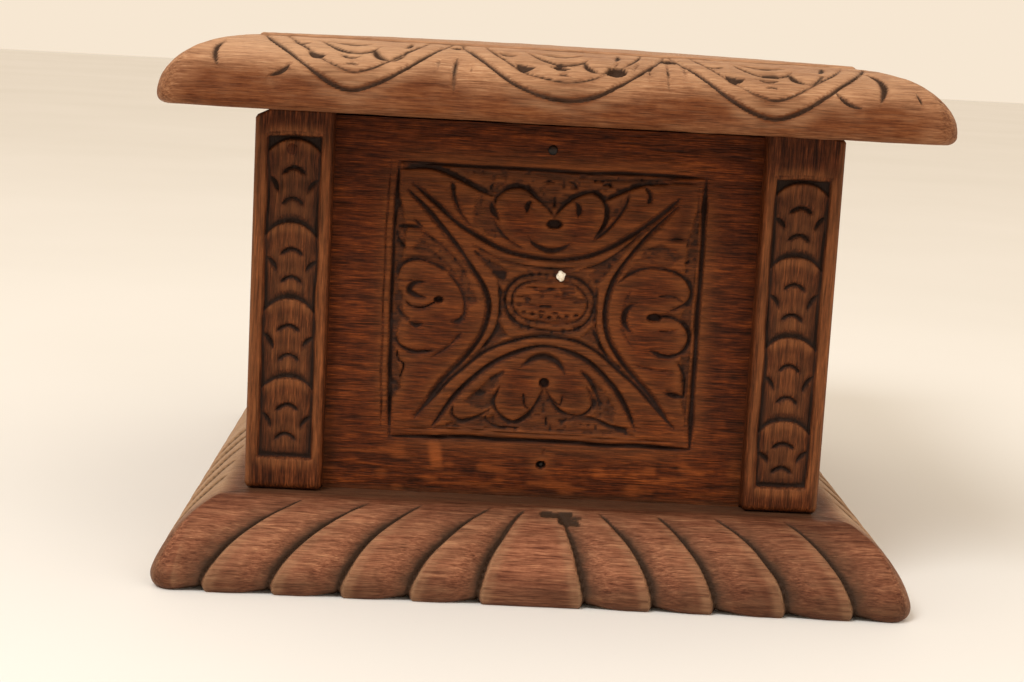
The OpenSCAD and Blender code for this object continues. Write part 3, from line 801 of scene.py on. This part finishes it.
def base_carving(along, v, edge):
    """Lobes that lean in towards the middle of each edge as they rise. Each lobe stands proud
    of its outer neighbour, which slopes down to it."""
    v = v - BASE_V0
    seed = 60 + edge
    x = along + 0.4 * noise(along, v, 8, seed)
    t = np.clip((v - LOBE_START) / (LOBE_END - LOBE_START), 0, 1)
    side = np.abs(x)
    edges = lobe_lines(x, t, edge)
    low, cut, wax = np.zeros(x.shape), np.zeros(x.shape), np.zeros(x.shape)
    for k, (inner, outer) in enumerate(zip(edges[:-1], edges[1:])):
        inside = (side >= inner) & (side < outer)
        width, past = outer - inner, side - inner
        dip = shade = 0 * x
        if k:
            dip = 1 - smooth_step(past / width, -0.2, 0.66)
            shade = 1 - smooth_step(past, 0.6, 0.42 * width)
            cut = np.maximum(cut, np.exp(-(past / (0.8 if edge else 0.45)) ** 2))
        fall = 1 - smooth_step(outer - side, -0.2, 1.5) if k < len(edges) - 2 else 0
        low = np.where(inside, np.maximum(dip, 0.8 * fall), low)
        wax = np.where(inside, shade, wax)
    start = smooth_step(v, LOBE_START - 0.6, LOBE_START + 1.5)
    fade = start * (0.35 + 0.65 * smooth_step(v, LOBE_START, LOBE_START + 8))
    swell = 0.75 + 1.35 * smooth_step(t, 0, 0.75) - 0.6 * smooth_step(v, 27, 33)
    depth = swell * fade * low + (0.8 if edge else 0.5) * start * cut
    # Painted shade goes in with the wax: on the slope beside each groove, along the grooves, on
    # the ledge at the foot of the walls and in a band round the foot.
    wax = fade * wax * (0.85 + 0.15 * noise(along, v, 3, seed + 2))
    wax = np.maximum(wax, 0.8 * (1 - smooth_step(v, 0.5, 6.5)))
    wax = np.maximum(wax, 0.4 * smooth_step(v, 28, 31.5))
    wax = np.maximum(wax, start * np.clip(1.4 * cut, 0, 1))
    corner = 0.85 * smooth_step(side, 80, 96) if edge % 2 else 0.6 * smooth_step(side, 84, 94)
    depth = depth * (1 - corner)
    if edge == 0:
        knot = base_knot(x, v)
        depth = depth + 0.5 * knot
        wax = np.maximum(wax, 1.95 * knot)
    depth = depth + 0.05 * noise(along / 6, v, 1.2, seed + 4)
    return depth * (1 - smooth_step(v, 35.5, 38)), wax


def base_pale(along, v, z, edge):
    """Dust along the inner lip of each groove, and the pale end grain of the short edges."""
    v = v - BASE_V0
    t = np.clip((v - LOBE_START) / (LOBE_END - LOBE_START), 0, 1)
    dust_and_shade = np.zeros(along.shape)
    for k in range(4):
        at = edge == k
        for line in lobe_lines(along[at], t[at], k)[1:-1]:
            dust_and_shade[at] = np.maximum(dust_and_shade[at], np.exp(-((np.abs(along[at]) - line + 0.8) / 0.6) ** 2))
    dust_and_shade = dust_and_shade * smooth_step(v, 11, 20) * (0.36 + 0.2 * noise(along, v, 4, 74))
    ends = 0.9 * smooth_step(v, 2, 8) * (1 - 0.85 * smooth_step(np.abs(along), 88, 106))
    return np.where(edge % 2 == 1, ends, dust_and_shade)


def base_tone_and_shade(along, v, z, edge):
    """Darker on the ledge by the walls, from dust and painted shade, and painted shade at the foot
    and towards the right, away from the light.
    """
    v = v - BASE_V0
    tone = 0.22 + 0.55 * smooth_step(v, 5, 13) - 0.45 * smooth_step(v, 24, 31)
    tone = tone - np.where(edge == 0, 0.3 * smooth_step(along, 0, 80), 0)
    tone = np.where(edge % 2 == 1, 0.9 - 0.5 * smooth_step(np.abs(along), 88, 106), tone)
    return np.clip(tone + 0.08 * noise(along, v, 11, 71), 0, 1)


LID_OVER = LID_HIGH[0] - HALF_W
LID_BORDER = LID_OVER - 0.5
LID_FOOT = 2.2  # the rounding of its lower edge
LID_LIP = 0.6  # how far the field stands above the border
LID_TOP = LID_HIGH[2]
FIELD_INSET = 94  # the inset at which the profile starts, near the middle
LID_V0 = FIELD_INSET - LID_BORDER  # the arc length at the field's lip


def lid_profile():
    """From the raised field over its lip, down the thumbnail border, round to the underside."""
    t = np.radians(np.linspace(90, 0, 24))
    border = np.stack([LID_BORDER * (1 - np.cos(t)),
                       LID_Z + LID_FOOT + (LID_TOP - LID_LIP - LID_Z - LID_FOOT) * np.sin(t)], -1)
    foot = np.stack([LID_FOOT * (1 - np.sin(t)), LID_Z + LID_FOOT * (1 - np.cos(t))], -1)
    lip = [(LID_BORDER + 0.7, LID_TOP), (LID_BORDER + 0.25, LID_TOP - 0.3),
           (LID_BORDER + 0.05, LID_TOP - LID_LIP)]
    edge = resampled(np.vstack([border, foot[1:]]), 0.45)
    inner = [(d, LID_TOP) for d in (FIELD_INSET, 76, 60, 46, 34, LID_BORDER + 3,
                                    LID_BORDER + 1.5)]
    return np.vstack([inner, lip, edge, [(6, LID_Z), (30, LID_Z), (60, LID_Z)]])


def lid_rise(x, y, z):
    """The lid has warped: its left end stands a little high and its back corners hang."""
    high = smooth_step(z, LID_Z, LID_TOP)
    hang = (y / 220 + 0.5) * np.clip(((x - 10) / 80) ** 2, 0, 1.4)
    lean = 0.6 - 0.006 * np.maximum(x, -50) - 0.9 * hang
    return high * lean + (1 - high) * 0.004 * np.maximum(-x, 0)


# A lunette's cuts, from the middle of its arcs, with the field's lip at 0
LUNETTE_GOUGES = [
    ([(-9.6, 5), (-6.4, 9.4), (-2, 12.4), (3, 12), (6.6, 8)], 2.2, 1.5),
    ([(-7.6, 6), (-1, 7), (5, 6.4)], 2.8, 1.4),
    ([(-4.6, 14), (-1, 15.4), (2.4, 14.2)], 1.6, 1.2),
    ([(-16.2, 7.8), (-14, 9), (-11.2, 8)], 1.8, 1.2),
    ([(13.6, 2), (13.2, 6.5), (12, 9.8)], 1.6, 1.0),
    ([(-12, 13), (-9.6, 16), (-6.6, 14.4)], 2.3, 1.5, -1),
    ([(4.4, 9.5), (6, 13.6), (9, 16.4)], 1.4, 1.2, 1),
    ([(-2.6, 18.6), (-0.4, 17.8), (1.6, 18.8)], 1.2, 0.8),
]
LUNETTE_LINES = [([(9, 16.4), (11.4, 14), (13, 10)], 0.8, 0.6, 1)]
FRONT_LUNETTES = ((-49.5, 23.6, 26, 1.3), (1.5, 25.4, 25.6, 1.12), (52.5, 24.6, 27.5, 1.26))
SIDE_LUNETTES = tuple((x, 24.4, 26, 1.2) for x in (-76.5, -25.5, 25.5, 76.5))
# The strokes of the fans between lunettes: place, top, bottom, lean and width
LEFT_FAN = ((0.4, 11.5, 25.4, -1.2, 1.8), (-4, 13, 20, -0.8, 0.9), (3.2, 15, 20, 0.4, 0.7))
RIGHT_FAN = ((-6, 8, 17, -2.4, 1.0), (-3, 6, 19.5, -1.2, 1.1), (0.4, 5, 22, 0.2, 1.0),
             (3.6, 6.5, 19, 1.6, 1.0))
# Stray cuts beyond the first and last lunette, and worm holes and a cut of the front edge
LEFT_GOUGES = [([(8, 18.4), (6, 21.6), (2.4, 23.6)], 1.8, 1.2),
               ([(-8.6, 9), (-10.4, 15), (-9.4, 22)], 1.2, 0.9, 1)]
RIGHT_GOUGES = [
    ([(-8, 17.8), (-5, 22), (-1, 23.6)], 1.6, 1.2),
    ([(-1, 6), (2.4, 8.6), (4.6, 12.6), (4.8, 16.6), (2.8, 22.4)], 1.6, 1.2, 1),
    ([(12, 16.4), (13.6, 21.6)], 0.8, 0.5),
]
FRONT_HOLES = ((14.4, 15, 2.6, 2.4, 2.2), (27.6, 6.4, 2.3, 2.4, 1.8), (0, 14.6, 1.7, 1.4, 1.2),
               (-24.6, 5.6, 1.6, 1.9, 1.2))
FRONT_GOUGES = [([(48.6, 10.4), (52, 12), (55.8, 10.8)], 1.6, 1.2, -1)]
LUNETTE_REACH = 23  # from an end lunette's middle to where the stray cuts are measured from


def carve_lunette(relief, cx, a, b, power):
    """A hanging flower on the lid's border, between double arcs that are half round for a power
    of 1 and more pointed above."""
    bow = lambda p: np.sign(p) * np.abs(p) ** power
    angles = np.radians(np.linspace(180, 0, 15))
    for ra, rb, width, depth, side in ((a, b, 0.95, 1.0, -1), (a - 6, b - 5.4, 0.8, 0.6, 1)):
        arc = [(cx + ra * bow(math.cos(q)), rb * bow(math.sin(q))) for q in angles]
        relief.groove(arc, width, depth, side)
    relief.carve(LUNETTE_LINES, cx=cx)
    relief.carve(LUNETTE_GOUGES, True, cx)


def lid_carving(along, v, edge):
    """Three lunettes on the ends and four along the sides, with fans between them."""
    v = v - LID_V0 - LID_LIP
    relief = Relief(along, v, 80 + edge, 0.35)
    lunettes = SIDE_LUNETTES if edge % 2 else FRONT_LUNETTES
    for lunette in lunettes:
        carve_lunette(relief, *lunette)
    middles = [lunette[0] for lunette in lunettes]
    for k, (left, right) in enumerate(zip(middles[:-1], middles[1:])):
        cx = (left + right) / 2 - 0.6
        fan = RIGHT_FAN if k % 2 else LEFT_FAN
        relief.carve([([(x, top), (x + 0.6 * lean, (top + bottom) / 2), (x + lean, bottom)],
                       width, 0.48 * width) for x, top, bottom, lean, width in fan], True, cx)
    relief.carve(LEFT_GOUGES, True, middles[0] - LUNETTE_REACH)
    relief.carve(RIGHT_GOUGES, True, middles[-1] + LUNETTE_REACH)
    if edge == 0:
        for hole in FRONT_HOLES:
            relief.hole(*hole)
        relief.carve(FRONT_GOUGES, True)
    on_border = smooth_step(v, -0.4, 0.6)
    hewn = 0.09 * noise(along, v, 5, 90 + edge) + 0.04 * noise(along / 8, v, 0.9, 95)
    nicks = 0.35 * smooth_step(noise(along, v, 3.1, 99), 0.72, 0.95)
    lip = (v > -LID_LIP - 1) & (v < 0.4)
    depth = relief.depth() * on_border + hewn * (v > -8) + nicks * lip
    # Dirt and painted shade darken the crease at the foot of the field's lip; the cuts near the
    # lip get a painted shadow, as they are seen edge on.
    dirt_and_shade = 2 * np.exp(-((v + 0.1) / 0.45) ** 2) * (0.75 + 0.25 * noise(along, 0 * v, 5, 93))
    cut_shadow_near_lip = smooth_step(relief.cut, 0.15, 0.6) * on_border * (1 - smooth_step(v, 15, 18))
    return depth, np.maximum(dirt_and_shade, 1.9 * cut_shadow_near_lip)


def lid_pale(along, v, z, edge):
    """The lid's top and upper edge have bleached."""
    left = smooth_step(along, -94, -78) * (1 - smooth_step(along, -65, -20))
    left = np.where(edge == 0, 0.5 * left * smooth_step(v - LID_V0, 0, 4), 0)
    return (0.36 + left) * smooth_step(z, LID_Z + 9, LID_Z + 15) + 0.08 * noise(along, v, 23, 55)


def lid_tone(along, v, z, edge):
    """Bleached on top, darker brown below a wandering line round the edge."""
    line = LID_Z + 8.6 + 1.6 * noise(along, 0 * v, 17, 77) + 0.8 * noise(along, 0 * v, 5, 76)
    line = line - np.where(edge == 0, 0.014 * along, 0)
    tone = smooth_step(z, line - 3, line + 3)
    tone = 0.94 * tone + 0.2 * smooth_step(LID_Z + 2.4 - z, 0, 2)
    ends = 0.34 * smooth_step(np.abs(along), 80, 96) * (z < line + 1)
    return np.clip(tone + ends + 0.08 * noise(along / 2, v, 6, 78), 0, 1)


# ---------------------------------------------------------------- materials
class Shader:
    """A node material, built by calls that return sockets."""

    def __init__(self, name):
        self.material = bpy.data.materials.new(name)
        self.material.use_nodes = True
        self.tree = self.material.node_tree
        self.bsdf = next(n for n in self.tree.nodes if n.type == "BSDF_PRINCIPLED")

    def put(self, socket, value):
        if isinstance(value, bpy.types.NodeSocket):
            self.tree.links.new(value, socket)
        else:
            socket.default_value = value

    def node(self, kind, inputs=None, **settings):
        node = self.tree.nodes.new(kind)
        for key, value in settings.items():
            setattr(node, key, value)
        for key, value in (inputs or {}).items():
            self.put(node.inputs[key], value)
        return node

    def noise(self, scale, detail=3, roughness=0.6, distortion=0.0):
        """Noise over the object's own coordinates, with one scale or a scale for each axis."""
        scale = scale if isinstance(scale, tuple) else (scale,) * 3
        at = self.node("ShaderNodeTexCoord").outputs["Object"]
        at = self.node("ShaderNodeMapping", {"Vector": at, "Scale": scale}).outputs[0]
        return self.node("ShaderNodeTexNoise", {
            "Vector": at, "Scale": 1, "Detail": detail, "Roughness": roughness,
            "Distortion": distortion}).outputs["Fac"]

    def attribute(self, name):
        return self.node("ShaderNodeAttribute", attribute_name=name).outputs["Fac"]

    def add(self, a, b):
        return self.node("ShaderNodeMath", {0: a, 1: b}, operation="ADD").outputs[0]

    def times(self, a, b):
        return self.node("ShaderNodeMath", {0: a, 1: b}, operation="MULTIPLY").outputs[0]

    def span(self, value, low, high, to_low=0.0, to_high=1.0):
        return self.node("ShaderNodeMapRange", {
            0: value, 1: low, 2: high, 3: to_low, 4: to_high}, clamp=True).outputs[0]

    def ramp(self, value, stops):
        node = self.node("ShaderNodeValToRGB", {"Fac": value})
        bands = node.color_ramp.elements
        stops = list(stops)
        while len(bands) < len(stops):
            bands.new(0.5)
        for band, (at, color) in zip(bands, stops):
            band.position = at
            band.color = (*color, 1)
        return node.outputs["Color"]

    def mix(self, factor, a, b, blend="MIX"):
        node = self.node("ShaderNodeMix", data_type="RGBA", blend_type=blend)
        color = lambda v: v if isinstance(v, bpy.types.NodeSocket) else (*v, 1)
        self.put(node.inputs[0], factor)
        self.put(node.inputs[6], color(a))
        self.put(node.inputs[7], color(b))
        return node.outputs[2]

    def bump(self, height, distance, strength=1.0, normal=None):
        node = self.node("ShaderNodeBump", {"Height": height, "Distance": distance,
                                            "Strength": strength})
        if normal:
            self.put(node.inputs["Normal"], normal)
        return node.outputs["Normal"]

    def surface(self, **looks):
        """The finished material. Each name is a shader input's, with _ for its spaces."""
        for name, value in looks.items():
            self.put(self.bsdf.inputs[name.replace("_", " ")], value)
        return self.material


def srgb(values):
    """Linear colour from 0-255 screen values."""
    return tuple((v / 255 / 12.92) if v <= 10 else ((v / 255 + 0.055) / 1.055) ** 2.4
                 for v in values)


# Screen colours of each oak: four bands from the grain's dark lines to its pale ones, the dirt and
# painted shade in the cuts, rubbed edges, wax in the grounds, which also paints shade by cuts,
# walls and feet, and the dusty pale wood. Then the tint of the darkened parts, and how thickly the
# wax lies.
OAKS = {
    "base_oak": (((88, 47, 31), (126, 76, 53), (152, 97, 70), (184, 128, 92)), (54, 38, 27),
                 (160, 122, 90), (76, 52, 36), (186, 152, 116), (0.4, 0.36, 0.33), 0.9),
    "lid_oak": (((110, 71, 47), (148, 101, 70), (172, 124, 89), (196, 152, 116)), (54, 37, 27),
                (194, 150, 112), (92, 64, 42), (210, 166, 130), (0.37, 0.23, 0.135), 0.4),
    "panel_oak": (((38, 15, 4), (74, 32, 10), (104, 47, 15), (146, 74, 28)), (30, 18, 14),
                  (136, 76, 36), (66, 41, 24), (158, 82, 36), (0.5, 0.45, 0.42), 0.6),
    "post_oak": (((40, 18, 8), (74, 37, 17), (104, 54, 26), (144, 80, 42)), (28, 18, 13),
                 (152, 94, 54), (58, 36, 22), (158, 106, 68), (0.5, 0.42, 0.38), 0.62),
}
BAND_PLACES = (0.1, 0.4, 0.66, 0.94)


def oak(look, grain=0, suffix=""):
    """Old waxed oak whose fibres follow one axis, grain."""
    bands, dirt_and_shade, worn, wax, bleached, dull, film = OAKS[look]
    bands = [srgb(band) for band in bands]
    s = Shader(look + suffix)

    def grain_noise(along, across, *settings):
        scale = tuple(along if axis == grain else across for axis in range(3))
        return s.noise(scale, *settings)

    figure = grain_noise(14, 240, 2, 0.5, 0.5)
    streak = grain_noise(76, 1150, 3, 0.55, 0.3)
    fibre = grain_noise(190, 3300, 3, 0.65)
    pore = grain_noise(130, 2700, 1, 0.5)
    blotch = grain_noise(34, 60)
    grit = s.noise(520, 2)
    lines = s.add(s.times(streak, 0.24), s.times(figure, 0.16))
    lines = s.add(s.add(lines, s.times(fibre, 0.5)), s.times(grit, 0.1))
    lines = s.span(lines, 0.35, 0.65)
    color = s.ramp(lines, zip(BAND_PLACES, bands))
    shade = s.add(s.span(blotch, 0.3, 0.7, -0.24, 0.24), s.attribute("tone"))
    color = s.mix(s.span(shade, 0.05, 0.95), s.mix(1.0, color, dull, "MULTIPLY"), color)
    color = s.mix(s.times(s.span(pore, 0.3, 0.38, 1, 0), 0.5), color, bands[0])
    dusty = s.times(s.attribute("pale"), s.span(lines, 0, 1, 0.45, 1.0))
    color = s.mix(dusty, color, srgb(bleached))
    thick = s.span(grit, 0.3, 0.7, 0.7 * film, min(1.15 * film, 1))
    # Wax in the grounds, with the painted shade laid with it by cuts, walls and feet.
    color = s.mix(s.times(s.attribute("dust_and_shade"), thick), color, srgb(wax))
    wear = s.times(s.attribute("edge"), s.span(streak, 0.3, 0.7, 0.1, 0.45))
    color = s.mix(wear, color, srgb(worn))
    # Dirt and painted shade darken the cuts and hollows.
    hollow = s.add(s.attribute("cav"), s.span(grit, 0.3, 0.7, -0.08, 0.08))
    color = s.mix(s.span(hollow, 0.14, 0.8, 0, 0.92), color, srgb(dirt_and_shade))
    deep = s.bump(lines, 0.00022, 0.7)
    return s.surface(Base_Color=color, Roughness=s.span(lines, 0, 1, 0.62, 0.42),
                     Specular_IOR_Level=0.1,
                     Normal=s.bump(s.span(pore, 0.3, 0.4), 0.00015, 0.6, deep))


def iron():
    """Blackened iron with a little rust."""
    s = Shader("old_iron")
    grit, patch = s.noise(900, 4), s.noise(160)
    color = s.ramp(grit, [(0.3, (0.003, 0.003, 0.003)), (0.7, (0.01, 0.009, 0.008))])
    rust = s.times(s.span(patch, 0.52, 0.66), 0.6)
    return s.surface(Base_Color=s.mix(rust, color, (0.05, 0.02, 0.01)),
                     Metallic=s.span(patch, 0.5, 0.66, 0.3, 0.05),
                     Roughness=s.span(grit, 0.3, 0.7, 0.25, 0.55),
                     Specular_IOR_Level=0.25, Normal=s.bump(grit, 0.0001, 0.7))


def steel():
    """Dull screw steel with fine turning marks."""
    s = Shader("dull_steel")
    grit = s.noise((1800, 1800, 300))
    color = s.ramp(s.noise(200), [(0.35, (0.16, 0.145, 0.125)), (0.65, (0.33, 0.31, 0.28))])
    return s.surface(Base_Color=color, Metallic=1.0, Roughness=s.span(grit, 0.3, 0.7, 0.3, 0.55),
                     Normal=s.bump(grit, 0.00005, 0.5))


# A pale plug painted the colour of the bright backdrop that shows through the small hole: painted
# light.
def filler():
    s = Shader("painted_daylight_plug")
    grit = s.noise(1500, 4)
    color = s.ramp(grit, [(0.3, srgb((196, 178, 148))), (0.6, srgb((248, 240, 224)))])
    return s.surface(Base_Color=color, Roughness=s.span(grit, 0.3, 0.7, 0.7, 0.9),
                     Normal=s.bump(grit, 0.0002, 0.6))


def velvet():
    """Napped dark red cloth."""
    s = Shader("red_velvet")
    nap, drift = s.noise(2600, 2), s.noise(55, distortion=0.6)
    color = s.ramp(s.add(s.times(nap, 0.4), s.times(drift, 0.6)),
                   [(0.35, (0.075, 0.006, 0.01)), (0.65, (0.2, 0.018, 0.026))])
    return s.surface(Base_Color=color, Roughness=s.span(nap, 0.3, 0.7, 0.8, 0.98),
                     Sheen_Weight=0.7, Sheen_Roughness=0.35, Sheen_Tint=(0.9, 0.35, 0.35, 1),
                     Normal=s.bump(nap, 0.0003, 0.8))


# ---------------------------------------------------------------- small pieces
# Outlines of small round pieces: (radius, distance towards -Y) from front to back
NAIL_SHANK = [(0.7, -0.2), (0.68, -6), (0.12, -7)]
DAYLIGHT_PLUG_OUTLINE = [(0.3, 0.28), (0.75, 0.22), (1.1, 0.05), (1.2, -0.2), (1.2, -3.9), (0.2, -4)]
PEG_OUTLINE = [(0.4, 0.04), (1.1, 0.0), (1.42, -0.15), (1.48, -0.5), (1.48, -5)]
TURNED_SIDES = 40
CLOTH_GAP = 0.15


def turned_piece(name, node, outline, back, slot, material, ripple):
    """A small round piece that faces -Y, in the middle of a CAD node and back from its front."""
    low, high = box_mm(node)
    x, _, z = (low + high) / 2
    y = low[1] + back
    angles = np.linspace(0, 2 * math.pi, TURNED_SIDES, endpoint=False)
    uneven = 1 + ripple * noise(6 * np.cos(angles) + 9, 6 * np.sin(angles) + 9, 3, 17)
    verts = np.vstack([
        np.stack([x + radius * uneven * np.cos(angles), np.full(TURNED_SIDES, y - out),
                  z + radius * uneven * np.sin(angles)], -1)
        for radius, out in outline])
    return add_object(name, verts, tube_faces(len(outline), TURNED_SIDES), "box", node, slot,
                      material, {"tone": np.full(len(verts), 0.5)})


def nail(name, node, material, radius, sunk=0.0):
    """A nail with a domed head, which sinks into the front panel's face."""
    dome = [(radius * math.sin(a), 0.55 * math.cos(a))
            for a in np.radians([4, 20, 40, 60, 80, 92])]
    back = FRONT_LOW[1] + sunk - box_mm(node)[0][1]
    turned_piece(name, node, dome + [(radius * 0.98, -0.15)] + NAIL_SHANK, back, "iron", material,
                 0.05)


def cushion(name, node, material, crown, soft, rows, face, side=1):
    """A padded piece in the space of a CAD solid. Its broad face looks along one axis, towards
    side. It is crowned by a part of the thickness and rounded off within soft of its edges; the
    other faces stay flat against what backs them."""
    low, high = box_mm(node)
    low, high = low + CLOTH_GAP, high - CLOTH_GAP
    p, q = (k for k in range(3) if k != face)
    u = np.linspace(-1, 1, rows * 2)
    a, b = np.meshgrid(u, u)
    half, middle = (high - low) / 2, (high + low) / 2
    rounding = 1
    for t, k in ((a, p), (b, q)):
        edge = np.clip((1 - np.abs(t)) * half[k] / soft, 0, 1)
        rounding = rounding * np.sqrt(np.clip(1 - (1 - edge) ** 2, 0, 1))
    thick = high[face] - low[face]
    puckers = 0.12 * noise(a * 9, b * 9, 1.3, 31) * thick / 4
    top = thick * (1 - crown + crown * rounding * (0.9 + 0.1 * (1 - a * a) * (1 - b * b)))
    top = top + puckers * rounding
    points = np.zeros(a.shape + (3,))
    points[..., p] = middle[p] + a * half[p]
    points[..., q] = middle[q] + b * half[q]
    base = low[face] if side > 0 else high[face]
    points[..., face] = base + side * np.minimum(top, thick)
    piece = add_object(name, *backed(points, face, base), "box", node, "lining_cloth", material)
    mesh = bmesh.new()
    mesh.from_mesh(piece.data)
    bmesh.ops.recalc_face_normals(mesh, faces=mesh.faces)
    mesh.to_mesh(piece.data)
    mesh.free()


# ---------------------------------------------------------------- camera, light and floor
CAMERA_ANGLES = (-1.56, 9.21, 3.09)  # to the left, down, and rolled, in degrees
CAMERA_AT = (-20.4, -HALF_D - 479.7, 142.1)
CAMERA_LENS = 66.4
SKY = (0.93, 0.80, 0.645, 1)
DAYLIGHT = (0.95, 0.98, 1.0)
# Each lamp's place and size in metres, and its power in watts
LAMPS = {"key": ((-0.6, -0.9, 1.2), 0.6, 12.5), "fill": ((0.9, -1.0, 0.7), 1.0, 2.5)}
LIT = Vector((0, 0, 0.07))
FLOOR_HALF = 6


def camera():
    """The camera stands in front, a little left and above, slightly rolled."""
    yaw, pitch, roll = (math.radians(a) for a in CAMERA_ANGLES)
    ahead = Vector((-math.sin(yaw) * math.cos(pitch), math.cos(yaw) * math.cos(pitch),
                    -math.sin(pitch)))
    right = Vector((math.cos(yaw), math.sin(yaw), 0))
    up = right.cross(ahead)
    x_axis = right * math.cos(roll) + up * math.sin(roll)
    y_axis = up * math.cos(roll) - right * math.sin(roll)
    turn = Matrix((x_axis, y_axis, -ahead)).transposed().to_4x4()
    data = bpy.data.cameras.new("camera")
    data.lens = CAMERA_LENS
    data.sensor_width = 36
    obj = linked("camera", data)
    obj.matrix_world = Matrix.Translation(Vector(CAMERA_AT) * MM) @ turn
    bpy.context.scene.camera = obj


def surroundings():
    """A pale floor, a pale sky and large soft lamps."""
    scene = bpy.context.scene
    scene.view_settings.view_transform = "Standard"
    world = bpy.data.worlds.new("sky")
    world.use_nodes = True
    sky = world.node_tree.nodes["Background"].inputs
    sky[0].default_value = SKY
    sky[1].default_value = 1.0
    scene.world = world
    for name, (at, size, power) in LAMPS.items():
        data = bpy.data.lights.new(name, "AREA")
        data.shape = "DISK"
        data.size = size
        data.energy = power
        data.color = DAYLIGHT
        obj = linked(name, data)
        obj.location = at
        obj.rotation_euler = (LIT - Vector(at)).to_track_quat("-Z", "Y").to_euler()

    s = Shader("floor_paint")
    color = s.ramp(s.noise(3, roughness=0.5),
                   [(0.3, srgb((235, 232, 227))), (0.7, srgb((240, 237, 233)))])
    mesh = bpy.data.meshes.new("floor")
    corners = [(FLOOR_HALF * sx, FLOOR_HALF * sy, 0)
               for sx, sy in ((-1, -1), (1, -1), (1, 1), (-1, 1))]
    mesh.from_pydata(corners, [], [(0, 1, 2, 3)])
    mesh.materials.append(s.surface(Base_Color=color, Roughness=0.7))
    linked("floor", mesh)


# ---------------------------------------------------------------- the box
def dress_cad(material, node):
    """Gives a carried-over CAD node a material."""
    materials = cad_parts[node].data.materials
    materials.clear()
    materials.append(material)


def build():
    dark_iron, screw_steel, cloth, posts = iron(), steel(), velvet(), oak("post_oak", 2)
    across, deep = oak("panel_oak", 0, "_across"), oak("panel_oak", 1, "_deep")
    moulded_board("base_board", BASE_HIGH[0], BASE_HIGH[1], 0.8, 6.5, base_profile(), base_carving,
                  "box", "oak_base", oak("base_oak"), base_tone_and_shade, base_pale)
    moulded_board("lid_board", LID_HIGH[0] - 0.4, LID_HIGH[1], 0.7, 6, lid_profile(), lid_carving,
                  "lid", "oak_lid", oak("lid_oak"), lid_tone, lid_pale, lid_rise, 0.8, 0.52, 1)
    post("post_front_left", -1, -1, (1, 2), posts, bevel=2.4)
    post("post_front_right", 1, -1, (1, 2), posts, RIGHT_TOP, RIGHT_HEADS)
    post("post_back_left", -1, 1, (2,), posts)
    post("post_back_right", 1, 1, (2,), posts)
    front_l, front_y = FRONT_HIGH[0], FRONT_LOW[1]
    side_l, side_y = SIDE_HIGH[1], -SIDE_HIGH[0]
    slab("panel_front", front_l, front_y, 0, front_relief, 0.35, across)
    slab("panel_back", front_l, front_y, 180, back_relief, 1.0, across)
    slab("panel_left", side_l, side_y, -90, side_relief(31), 0.5, deep)
    slab("panel_right", side_l, side_y, 90, side_relief(37), 0.5, deep)
    nail("nail_top", "panel_nail_top", dark_iron, 1.25)
    nail("nail_bottom", "panel_nail_bottom", dark_iron, 0.8, 1.5)
    # The pale plug in the small hole stands in for the backdrop's light seen through it: painted
    # light.
    turned_piece("daylight_spot_plug", "filler_plug", DAYLIGHT_PLUG_OUTLINE, 0, "filler", filler(), 0.2)
    turned_piece("peg", "post_peg", PEG_OUTLINE, -0.1, "oak_post", posts, 0.04)
    cushion("floor_cushion", "floor_pad", cloth, 0.45, 6, 40, 2)
    for wall, face, side in (("front", 1, 1), ("back", 1, -1), ("left", 0, 1), ("right", 0, -1)):
        cushion("wall_cloth_" + wall, "lining_" + wall, cloth, 0.6, 1.6, 36, face, side)
    for hand in ("left", "right"):
        for part in ("body_leaf", "lid_leaf", "pin"):
            dress_cad(dark_iron, "hinge_%s_%s" % (hand, part))
    for screws in ("hinge_body_screws", "hinge_lid_screws", "post_screws"):
        dress_cad(screw_steel, screws)


build()
camera()
surroundings()
